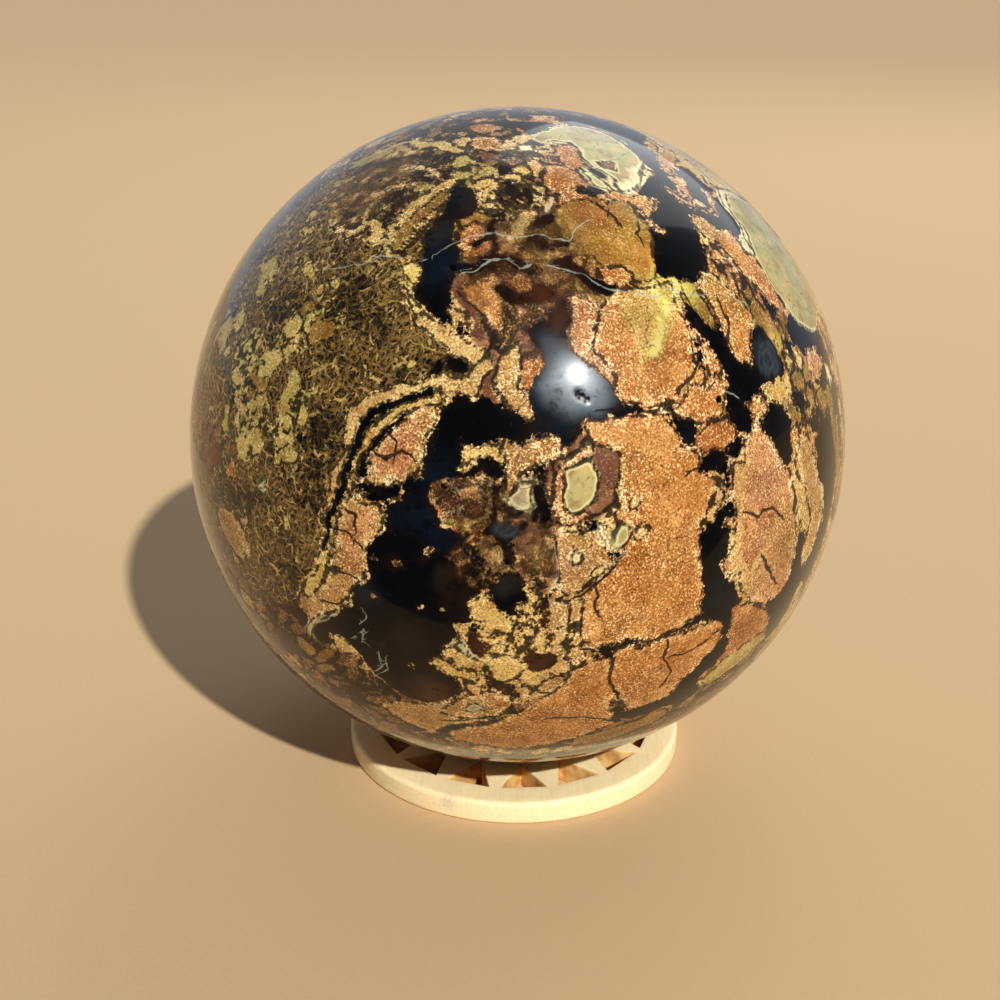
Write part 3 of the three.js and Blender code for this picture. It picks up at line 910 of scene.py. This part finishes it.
lay_ribbon("cream", 2.2, -17.5, 35, -14, 33.5, -10, 31, -6, 28.5)
lay_ribbon("gold", 1.3, -26.4, 9, -28, 4.6, -29.4, 0, -31.6, -5)
lay_ribbon("cream", 2.2, -6, 28.5, -7, 26, -12, 26, -19, 24.5, -25, 22, -27, 20.5, -26.3, 16, -28, 11,
           -29.8, 4)
lay_ribbon("gold", 1.7, -12, 24.5, -18, 22, -23, 18.5, -25.5, 14, -27, 8, -29, 3, -31.5, -3, -35, -9)
open_gap(1.5, -14, 24.9, -19, 23.2, -24, 20.6, -25.6, 17, -27, 10, -28.9, 5, -31, 0)
open_gap(1.1, -18.5, 20.4, -21, 18.8, -23.2, 15.5, -24.5, 12)
open_gap(1.6, -24.5, 10.6, -22, 9.6, -20, 9.8, -18.5, 11)
open_gap(None, -12.8, 30.2, -11.4, 28, -7.8, 27.4, -8.4, 29, -10, 29.9)

# The dark ground between the stones: black chalcedony with blue clouds, brown jasper low down, and a milky
# patch painted paler round the highlight as its glow.
BLACK = linear(6, 7, 10)
BLUE = linear(20, 32, 46)
# Milky chalcedony, which round the highlight also stands for a painted glow of light.
MILK_AND_HIGHLIGHT_GLOW = linear(150, 166, 180)
SMOKE = linear(50, 46, 42)
EARTH = linear(40, 26, 14)
CHOCOLATE = linear(96, 58, 30)
cloud = np.clip(lattice_noise(millimetres, 6, 40) * 0.6 + lattice_noise(millimetres, 2.5, 41) * 0.4, -1, 1)
ground = np.tile(BLACK, (len(stray), 1))
stains = [
    # The milky stains at the highlight are partly the chalcedony's own colour and partly a painted glow of
    # the highlight.
    (BLUE, 7, 27, 10, 0.9), (MILK_AND_HIGHLIGHT_GLOW, 8.4, 27, 5.6, 1.0), (MILK_AND_HIGHLIGHT_GLOW, 11, 24, 4.2, 0.7),
    (MILK_AND_HIGHLIGHT_GLOW, 6, 32, 3.5, 0.3), (BLUE, 5, 36, 4, 0.9), (BLUE, -16, 7, 5, 0.9), (BLUE, -12, 5, 4, 0.7),
    (BLUE, -24, -6, 4, 0.9), (BLUE, -8, 4, 4, 0.5), (BLUE, -12, 14, 5, 0.6), (BLUE, -17, 46, 8, 0.9),
    (SMOKE, -19, 50, 4, 0.8), (BLUE, -15, 57, 5, 0.7), (BLUE, 58, 27, 5, 0.7), (BLUE, 33, -8, 5, 0.6),
    (BLUE, -35, 58, 7, 0.6), (BLUE, 14, 61, 6, 0.8), (BLUE, 32, 62, 8, 0.5), (BLUE, 52, 68, 12, 0.6),
    (BLUE, 27, 18, 3, 0.8), (SMOKE, -2, -3, 3, 1.0), (SMOKE, -16, -22, 4, 0.8),
    (SMOKE, -11, -2, 2.5, 0.8), (SMOKE, -17, -14, 4, 0.6), (EARTH, -15, -16, 9, 0.9),
    (EARTH, -26, -22, 9, 0.9), (EARTH, -9, -4, 6, 0.8), (EARTH, -6, -10, 7, 0.8),
    (CHOCOLATE, 3, -9, 5, 1.0), (CHOCOLATE, 2, -16, 5, 1.0), (CHOCOLATE, -3, -13, 4, 0.9),
    (CHOCOLATE, -4, -22, 4, 0.8), (CHOCOLATE, -15, -26, 6, 0.7), (CHOCOLATE, -6, -16, 5, 0.7),
    (CHOCOLATE, 2, 3, 4, 0.8), (EARTH, -4, 8, 8, 0.8), (CHOCOLATE, 2, 46, 12, 0.35),
    (CHOCOLATE, -7, 52, 9, 0.35), (EARTH, 0, 58, 14, 0.9), (CHOCOLATE, 4, 39, 5, 0.5),
    (CHOCOLATE, -1, 34, 4, 0.6), (CHOCOLATE, 8, 35, 4, 0.5), (CHOCOLATE, -50, -22, 26, 0.6),
    (EARTH, 54, 18, 10, 0.8), (CHOCOLATE, 0, -50, 34, 0.6), (EARTH, -45, 58, 16, 0.9),
    (EARTH, -140, 0, 60, 0.6),
]
for colour, east, north, size, strength in stains:
    amount = (spread(east, north, size, 0.8) * strength * np.clip(0.75 + cloud * 0.6, 0, 1))[:, None]
    ground = ground * (1 - amount) + colour * amount

# Two agate eyes in the black, a large one on the right and a faint one in the middle: pale rings
# round a point, each with its radius, its width and its strength.
EYES = [(46, 26.5, 0.0, 0.5, 0.5), (46, 26.5, 1.4, 0.5, 0.45), (46, 26.5, 2.4, 0.4, 0.35),
        (46, 26.5, 3.2, 0.3, 0.15), (-2, 6.5, 0.0, 0.4, 0.5), (-2, 6.5, 1.1, 0.4, 0.4)]
for east, north, radius, width, strength in EYES:
    arc = np.arccos(np.clip(stray @ outward(east, north), -1, 1)) * BALL
    amount = (strength * np.exp(-(((arc - radius) / width) ** 2)))[:, None]
    ground = ground * (1 - amount) + linear(92, 104, 112) * amount

# The moss: it fills the left side from the gold ribbons back, and fades into the hidden slabs.
moss = region(-80, 58, -50, 62, -32, 60, -24, 53, -21, 46, -19, 38, -16, 34, -9, 30, -7, 28, -8, 26,
              -20, 25.5, -27, 21, -27, 16, -28.5, 9, -30, 4, -33, -5, -37, -12, -46, -15, -60, -14,
              -80, -10, soft=1.0)
moss = np.maximum(moss, region(-72, 54, -110, 48, -128, 22, -120, -6, -96, -20, -72, -12, soft=8.0))
bare_patch = region(-10, 25.6, -18, 23.2, -24, 20.4, -25.3, 16, -24, 14, -20, 18, -12, 23, soft=0.8)
holes = np.maximum(region(-12.8, 30.2, -11.4, 28, -7.8, 27.4, -8.4, 29, -10, 29.9, soft=0.6),
                   region(-16.4, 26.4, -15, 28, -13, 30, -12, 28.4, -13, 26.6, soft=0.6))
moss = moss * (1 - bare_patch) * (1 - holes)
edge = edge - 7.0 * moss * np.clip(behind, 0, 1) * (lattice_noise(millimetres, 9, 50) < 0.55)

# Ragged clumps of yellow, olive, brown and rust caught in the moss, and yellow shreds that drift
# round them.
MOSS_CLUMPS = [
    ("sallow", -53.5, 25, 2.0), ("sallow", -53, 21, 2.0), ("olive", -48, 22, 2.4), ("sallow", -50, 12, 2.0),
    ("olive", -41, 34, 2.6), ("sallow", -44, 31, 1.6), ("sallow", -38, 21, 1.3), ("sallow", -38, 12, 1.4),
    ("sallow", -66, 27, 3.0), ("cream", -51, 17, 0.9), ("grey", -43, 7, 0.8), ("maroon", -60, 8, 4.0),
    ("tan", -52, -4, 4.2), ("sallow", -47, 25, 1.8), ("sallow", -47, 18, 1.5), ("rust", -52, 6.5, 1.4),
    ("sallow", -50, 42, 1.6), ("sallow", -60, 38, 2.0), ("gold", -58, 48, 2.0), ("brown", -70, 12, 5.0),
    ("sallow", -42, 28, 1.6), ("olive", -38, 31, 2.2), ("sallow", -46, 13, 1.2), ("sallow", -40, 16, 1.2),
]
ragged = lattice_noise(millimetres, 2.4, 60) * 1.5 + lattice_noise(millimetres, 1.1, 61) * 0.9
for kind, east, north, size in MOSS_CLUMPS:
    arc = np.arccos(np.clip(stray @ outward(east, north), -1, 1)) * BALL
    near = np.nonzero(arc < size + 4)[0]
    set_down(near, (size - arc + ragged)[near] * 0.8, STONE_NAMES.index(kind))
shreds = lattice_noise(millimetres * (1.3, 1.0, 0.5), 2.2, 62) + lattice_noise(millimetres, 1.2, 63) * 0.5
where = region(-64, 38, -48, 44, -36, 38, -34, 22, -36, 8, -46, 4, -62, 4, soft=6.0)
shreds = (shreds - 0.95 + 0.45 * where) * 2.4
patch = np.nonzero((moss > 0.6) & (shreds > -2))[0]
set_down(patch, shreds[patch], STONE_NAMES.index("sallow"))

# Cracks and veins are kept as a signed distance, which crosses zero on the line, and how near it is.
def lines(*courses):
    """Least distance to a set of lines of places, with the product of the sides it lies on."""
    gap, side = np.full(len(stray), 9.0), np.ones(len(stray))
    for course in courses:
        corners = directions(course)
        near, middle = near_points(corners, 5.0)
        far, hand = to_line(flatten(stray[near], middle), flatten(corners, middle), False)
        gap[near] = np.minimum(gap[near], far)
        side[near] *= np.where(far < 4.5, hand, 1)
    return gap, gap * np.where(side == 0, 1, side)


crack_gap, crack = lines(
    (9.4, -15, 12, -15.4, 15, -15.2, 17, -14, 20, -14.4, 23, -14, 27, -12.4, 30, -12.2),
    (11, -3, 11.3, -6, 12.5, -9), (8, -4.5, 10, -3, 12, -2, 14.5, 0), (25, 12, 27, 12.6, 29.5, 12.6),
    (12, 21.8, 16, 22.2, 20, 21.9, 24, 22.3, 26, 20, 27, 17.4), (20, 56, 21.5, 53.5, 23, 51),
    (28, 51, 27, 49, 28, 47), (25.5, 24, 28, 25.4, 30.5, 27.6), (41, -4, 43, -8, 46, -10),
    (15, -18.5, 15.8, -23, 17, -26), (-13, -33, -8, -31.5, -3, -29.6, 0.5, -27.4), (38, 30, 40, 33, 40, 37),
    (36, 5, 39, 3, 42, 4, 45, 2), (24, -15, 24.5, -19, 27, -22, 26.5, -26), (20, -34, 12, -31, 6, -31),
    (-27.6, 2.6, -26, 2.4, -25, 1.6, -23, 1), (-30, -3.4, -28, -4, -25.5, -4.6),
    (-27, -8, -29, -9.6, -32, -10), (-22.5, 16, -20.6, 15, -18.4, 15.4, -16, 14.6),
    (-20.4, 19, -19, 17, -19.4, 15), (-26, 6, -24.4, 5, -24.6, 3), (33, -16, 29, -18, 26, -18.5),
)
vein_gap, vein = lines(
    (-13, 42.5, -10, 43.5, -6, 45, -2, 45, 0.5, 44, 4.5, 45, 8, 44, 12, 43, 16, 41, 20, 39.5, 24, 39,
     30, 39, 36, 38.5, 42, 37, 46, 35.5),
    (-20, 45, -16, 47, -12, 49.5, -4, 50, 4, 49.5, 10, 49.7, 16, 52), (-46, 40, -38, 42, -30, 44, -25, 45),
    (-46, 27, -43, 25, -40, 24), (11.5, 7, 12.5, 4, 14.5, 0.8, 16, 2.5), (34.2, 22.6, 35.4, 22.2, 36.2, 21),
    (68, 43.5, 70, 41.5, 74, 41, 80, 43), (-25, -10, -24.4, -11.5, -25.8, -12.4, -25, -13.7, -27, -15),
    (-25.2, -14, -25, -15.5, -24.2, -16.4), (-22.4, -18, -22.6, -21, -24.5, -23, -25.3, -25.5),
    (-21.2, -18.5, -21.6, -21.5, -23.2, -22.9),
    (4.6, 4, 5, 0, 4.4, -4, 5, -8, 5.4, -11),
)

# Where the jasper is smoky the stones melt into the ground: above the milky chalcedony, below it on
# the left, and high on the left beyond the gold ribbons.
above_milk = region(-12, 40, -10, 48, -6, 53, 8, 54, 16, 50, 12, 40, 9, 32, 4, 30, -2, 33, soft=5.0)
below_milk = region(-14, 14, -10, 5, -11, -4, -4, -4, 4, 0, 4, 8, -3, 12, soft=3.0)
round_left = region(-66, 56, -50, 50, -40, 52, -38, 62, -60, 66, soft=5.0)
soft = np.maximum(np.maximum(above_milk * 0.6, below_milk * 0.6), round_left * 0.8)

# Blushes: soft clouds of another colour inside the stones.
LIME = linear(222, 212, 106)
OLIVE = linear(142, 116, 44)
RED = linear(152, 78, 44)
LILAC = linear(156, 118, 104)
UMBER = linear(66, 44, 28)
AMBER = linear(178, 126, 44)
BLUSHES = [
    (UMBER, 3, 47, 8, 0.8), (UMBER, -5, 46, 6, 0.6), (UMBER, 5, 37, 5, 0.7), (UMBER, -2, 34, 4, 0.6),
    (UMBER, 11, 46, 5, 0.6), (UMBER, -7, 54, 6, 0.4), (UMBER, -5, 9, 6, 0.7), (UMBER, 2, 2, 4, 0.7),
    (UMBER, -7, -1, 4, 0.8), (UMBER, 0, 13, 4, 0.3), (UMBER, -40, 56, 9, 0.5), (AMBER, 22, 48, 10, 0.7),
    (OLIVE, 28, 50, 5, 0.6), (AMBER, 28, 44, 5, 0.85), (OLIVE, 24, 35, 5, 0.6),
    (LIME, 29, 42, 2.5, 1.0), (LIME, 27, 40, 2.5, 1.0), (LIME, 26.4, 38, 1.9, 1.0),
    (LIME, 25.6, 36, 1.6, 1.0), (LIME, 24.8, 34.4, 1.6, 1.0), (LIME, 24, 32.6, 1.7, 1.0),
    (LIME, 23, 30.6, 2.0, 1.0), (LIME, 31, 39.6, 3.0, 0.9), (LIME, 34, 39, 2.4, 0.6),
    (OLIVE, 39, 40, 5, 0.9), (OLIVE, 44, 36, 4, 0.6), (OLIVE, 47, 48, 4, 0.8), (RED, 54, 35, 5, 0.8),
    (RED, 18, 54, 5, 0.6), (RED, 12, 37, 3, 0.5), (RED, -11, 50, 5, 0.6), (LILAC, 9, 31, 4, 0.5),
    (LILAC, -6, 50, 3, 0.7), (RED, 42, 0, 7, 0.5), (LILAC, 41, 8, 6, 0.4), (RED, 22, -33, 8, 0.4),
    (OLIVE, -28, -2, 3, 0.4), (RED, -25, 2, 3, 0.5), (RED, 74, 31, 5, 0.45), (RED, 66, 27, 3, 0.4),
    (OLIVE, 66, 36, 7, 0.3), (LILAC, 7, 1, 3, 0.6), (LIME, 51, 28, 3, 0.7), (LIME, -22, 42, 3, 0.5),
    (OLIVE, -8, -37, 10, 0.5), (OLIVE, 9, 5, 2.5, 0.5),
]

body, second = (np.array([STONES[name][part] for name in STONE_NAMES]) for part in (0, 1))
sugar, rim = (np.array([STONES[name][part] for name in STONE_NAMES])[stone] for part in (2, 3))
blotch = np.clip(0.5 + lattice_noise(millimetres, 4, 70) * 0.55 + lattice_noise(millimetres, 9, 71) * 0.45,
                 0, 1)[:, None]
stone_colour = body[stone] * (1 - blotch) + second[stone] * blotch
for colour, east, north, size, strength in BLUSHES:
    amount = (spread(east, north, size, 0.9) * strength * np.clip(0.9 + cloud * 0.5, 0, 1))[:, None]
    stone_colour = stone_colour * (1 - amount) + colour * amount
stored = {
    "stone": stone_colour, "ground": ground, "edge": edge, "border": border, "sugar": sugar, "rim": rim,
    "moss": moss, "soft": soft, "pit": pit, "crack": crack, "crack_gap": crack_gap, "vein": vein,
    "vein_gap": vein_gap,
}
for name, values in stored.items():
    store(sphere, name, values)

jasper = Finish("polished brecciated jasper")
edge, border, rim, sugar, moss, soft, pit = (
    jasper.stored(name) for name in ("edge", "border", "rim", "sugar", "moss", "soft", "pit")
)
coarse = jasper.noise(1.6, 3, 0.55)
fine = jasper.noise(0.55, 3, 0.65)
grit = jasper.noise(0.3, 2, 0.65, 0.3)
mottle = jasper.noise(3.2, 4, 0.6)
bulk = jasper.noise(7.0, 2, 0.5)
rough = sugar * 0.75 + 0.25
depth = edge + 0.25 + (coarse - 0.5) * rough * 1.3 + (fine - 0.5) * rough * 1.5
melted = (depth + (mottle - 0.5) * 1.8).step(-0.35, 0.35)
solid = depth.step(-0.04, 0.08) * (1 - soft) + melted * soft

grains = sugar * (1 - soft * 0.6)

# Stone: its own colour, clouded and blocky; sugar grains, light and dark, the light ones crowding
# towards a broken edge wherever the rim is pale.
swirl = jasper.noise(2.6, 1, 0.5, output=1)
drift = jasper.node(
    "VectorMath", {"operation": "MULTIPLY_ADD"}, {0: swirl, 1: (0.0022, 0.0022, 0.0022), 2: jasper.place}
)
stone = jasper.stored("stone", "Color")
block = jasper.node("TexVoronoi", {"feature": "F1"}, {"Vector": drift, "Scale": 210.0}, 1)
block = jasper.node("SeparateColor", {}, {"Color": block})
paler = mottle.step(0.5, 0.66) * 0.3 + block.step(0.6, 0.9) * 0.15
browner = (1 - mottle).step(0.52, 0.66) * 0.45 + block.step(0.4, 0.1) * 0.25
stone = jasper.mix(paler, stone, linear(230, 178, 116))
stone = jasper.mix(browner, stone, linear(122, 74, 32))
seam = border + (coarse - 0.5) * rough * 1.0 + (fine - 0.5) * rough * 0.9
crowd = seam.step(2.2, 0.1) * rim * coarse.step(0.38, 0.62)
lively = bulk.step(0.3, 0.62) * 0.5 + 0.5
light = (grit + crowd * 0.15 + fine * 0.12 - 0.06).step(0.52, 0.68)
stone = jasper.mix(light * grains * lively * 0.95, stone,
                   jasper.mix(crowd * 1.2, linear(252, 220, 160), linear(252, 238, 192)))
shaded = (1 - grit + (0.5 - fine) * 0.3).step(0.54, 0.68) * (1 - crowd * 0.7)
stone = jasper.mix(shaded * grains * 0.75, stone, linear(88, 56, 26))
stone = jasper.mix(soft * mottle.step(0.62, 0.4) * 0.6, stone, linear(48, 34, 22))
pale_rim = (seam.least(depth)).step(0.75, 0.3) * (1 - sugar).step(0.6, 0.9) * rim.step(0.12, 0.2)
stone = jasper.mix(pale_rim * 0.7, stone, linear(232, 220, 168))
outline = seam.step(0.36, 0.12).most(depth.step(0.25, 0.05))
stone = jasper.mix(outline * (1 - soft * 0.7) * 0.9, stone, linear(26, 19, 13))

# Ground: black with clouds, browned close to the stones, with a few drifting crumbs.
smoke = jasper.noise(2.2, 4, 0.65, 0.0, drift)
ground = jasper.stored("ground", "Color")
dark = jasper.mix(smoke.step(0.5, 0.3) * 0.8, ground, linear(5, 6, 9))
haze = depth.step(-1.2, 0.1) * mottle.step(0.35, 0.65)
dark = jasper.mix(haze * 0.25 + soft * mottle.step(0.4, 0.6) * 0.35, dark, linear(66, 42, 26))
crumbs = fine.step(0.66, 0.72) * coarse.step(0.5, 0.62)
dark = jasper.mix(crumbs * 0.4, dark, linear(130, 98, 54))

# Moss: two sizes of crossing threads over a dark bed of wisps and scraps, thinned out in patches.
def twigs(size, thickness):
    """Fine broken lines: the walls between the cells of a scatter of points, ragged by noise."""
    inputs = {"Vector": drift, "Scale": 1 / (size * MM)}
    walls = jasper.node("TexVoronoi", {"feature": "DISTANCE_TO_EDGE"}, inputs)
    return (walls + (fine - 0.5) * 0.35).step(thickness, thickness * 0.3)


wisps = jasper.noise(0.9, 3, 0.65, 1.8, drift)
scraps = jasper.noise(0.45, 3, 0.7, 0.6, drift)
patchy = jasper.noise(1.5, 3, 0.6, 0.0, drift)
sparse = (mottle * 0.5 + bulk * 0.5).step(0.4, 0.6)
bed = jasper.mix(wisps.step(0.42, 0.6), linear(13, 11, 9), linear(84, 64, 36))
bed = jasper.mix(scraps.step(0.5, 0.64) * 0.85, bed, linear(158, 128, 76))
bed = jasper.mix(scraps.step(0.47, 0.36) * 0.9, bed, linear(12, 11, 11))
bed = jasper.mix(twigs(1.0, 0.14) * patchy.step(0.45, 0.55) * 0.7, bed, linear(162, 130, 76))
bed = jasper.mix(twigs(1.9, 0.09) * (1 - patchy).step(0.46, 0.58) * 0.85, bed, linear(212, 182, 118))
thinned = jasper.mix(wisps.step(0.42, 0.6), linear(56, 46, 30), linear(116, 96, 58))
mossy = jasper.mix(sparse * 0.4, bed, thinned)
mossy = jasper.mix(bulk.step(0.52, 0.4) * coarse.step(0.35, 0.55) * 0.75, mossy, linear(18, 16, 14))
mossy = jasper.mix(bulk.step(0.54, 0.66) * scraps.step(0.46, 0.6) * 0.5, mossy, linear(164, 136, 78))
dark = jasper.mix(moss, dark, mossy)

colour = jasper.mix(solid, dark, stone)

# Cracks run dark through the stone, and thin pale veins cross stone and ground alike.
wiggle = (coarse - 0.5) * 0.8 + (fine - 0.5) * 0.4
crack_near = jasper.stored("crack_gap").step(0.9, 0.6)
crack_line = abs(jasper.stored("crack") + wiggle).step(0.3, 0.14) * crack_near
cells = jasper.node(
    "TexVoronoi", {"feature": "DISTANCE_TO_EDGE"}, {"Vector": drift, "Scale": 170.0, "Randomness": 1.0}
)
crazing = (cells + (fine - 0.5) * 0.06).step(0.018, 0.004) * mottle.step(0.47, 0.55) * solid
colour = jasper.mix(crack_line.most(crazing * 0.6) * 0.9, colour, linear(26, 18, 14))
vein_near = jasper.stored("vein_gap").step(0.8, 0.5)
vein_line = abs(jasper.stored("vein") + wiggle * 0.7).step(0.17, 0.06) * vein_near
colour = jasper.mix(vein_line * (coarse.step(0.3, 0.6) * 0.45 + 0.15), colour, linear(172, 180, 166))
# Inside the pits the colour turns near black.
colour = jasper.mix(pit.step(0.15, 0.4), colour, linear(10, 10, 11))

polish = {"Specular IOR Level": 0.1, "Coat Roughness": 0.07, "Coat IOR": 1.35, "IOR": 1.5}
for socket, value in polish.items():
    jasper.shader.inputs[socket].default_value = value
sphere.data.materials.append(
    jasper.shade(
        Base_Color=colour, Roughness=0.24 + solid * 0.2, Coat_Weight=0.9 * (1 - pit.step(0.1, 0.3))
    )
)
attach(sphere, "root")
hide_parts("stone_sphere")


# ---------------------------------------------------------------------------------------------------
# Table and light: a plain pale table, a small lamp, hard and a little warm, high on the right front,
# and a big soft screen behind and above, whose reflection lies milky on the crown.
TABLE = 3.0
TABLE_PAINT = linear(204, 176, 138)
# The near part of the table is left out of reflections, as if the viewer's shade lay there, so that
# the black stone stays black.
NEAR = -0.095


def plain_sheet(name, front, back):
    """The flat part of the table between two distances, which belongs to the setting."""
    corners = [(-TABLE, front, 0), (TABLE, front, 0), (TABLE, back, 0), (-TABLE, back, 0)]
    mesh = bpy.data.meshes.new(name)
    mesh.from_pydata(corners, [], [(0, 1, 2, 3)])
    sheet = bpy.data.objects.new(name, mesh)
    paint = Finish(name)
    speck = paint.noise(0.8, 3, 0.6).step(0.35, 0.65)
    tone = paint.mix(speck * 0.12, TABLE_PAINT, TABLE_PAINT * 0.8)
    mesh.materials.append(paint.shade(Base_Color=tone, Roughness=0.9))
    scene.collection.objects.link(sheet)
    return sheet


def lamp(name, kind, azimuth, elevation, reach, size, power, colour):
    """A lamp that looks at the sphere's middle from a direction."""
    light = bpy.data.lights.new(name, kind)
    light.energy = power
    light.color = colour
    if kind == "AREA":
        light.shape = "RECTANGLE"
        light.size, light.size_y = size
    else:
        light.angle = np.radians(size)
    holder = bpy.data.objects.new(name, light)
    side = outward(azimuth, elevation)
    holder.location = sphere_middle + side * reach
    holder.rotation_euler = (np.radians(90 - elevation), 0, np.radians(azimuth))
    scene.collection.objects.link(holder)


plain_sheet("table", NEAR, TABLE)
plain_sheet("near table", -TABLE, NEAR).visible_glossy = False
lamp("key lamp", "SUN", 23.6, 38, 1.0, 1.5, 3.3, (1.0, 0.97, 0.92))
lamp("crown screen", "AREA", 151, 44, 1.1, (0.84, 0.8), 2.4, (0.95, 0.98, 1.0))
world = bpy.data.worlds.new("room")
world.use_nodes = True
nodes, links = world.node_tree.nodes, world.node_tree.links
sky, split = nodes.new("ShaderNodeTexCoord"), nodes.new("ShaderNodeSeparateXYZ")
ramp, room = nodes.new("ShaderNodeValToRGB"), nodes["Background"]
links.new(sky.outputs["Generated"], split.inputs[0])
links.new(split.outputs["Y"], ramp.inputs["Fac"])
links.new(ramp.outputs["Color"], room.inputs["Color"])
ramp.color_ramp.elements[0].position, ramp.color_ramp.elements[0].color = 0.0, (0.1, 0.105, 0.12, 1)
ramp.color_ramp.elements[1].position, ramp.color_ramp.elements[1].color = 0.75, (0.42, 0.44, 0.48, 1)
room.inputs["Strength"].default_value = 1.0
scene.world = world
scene.view_settings.view_transform = "Standard"
scene.view_settings.look = "Medium High Contrast"
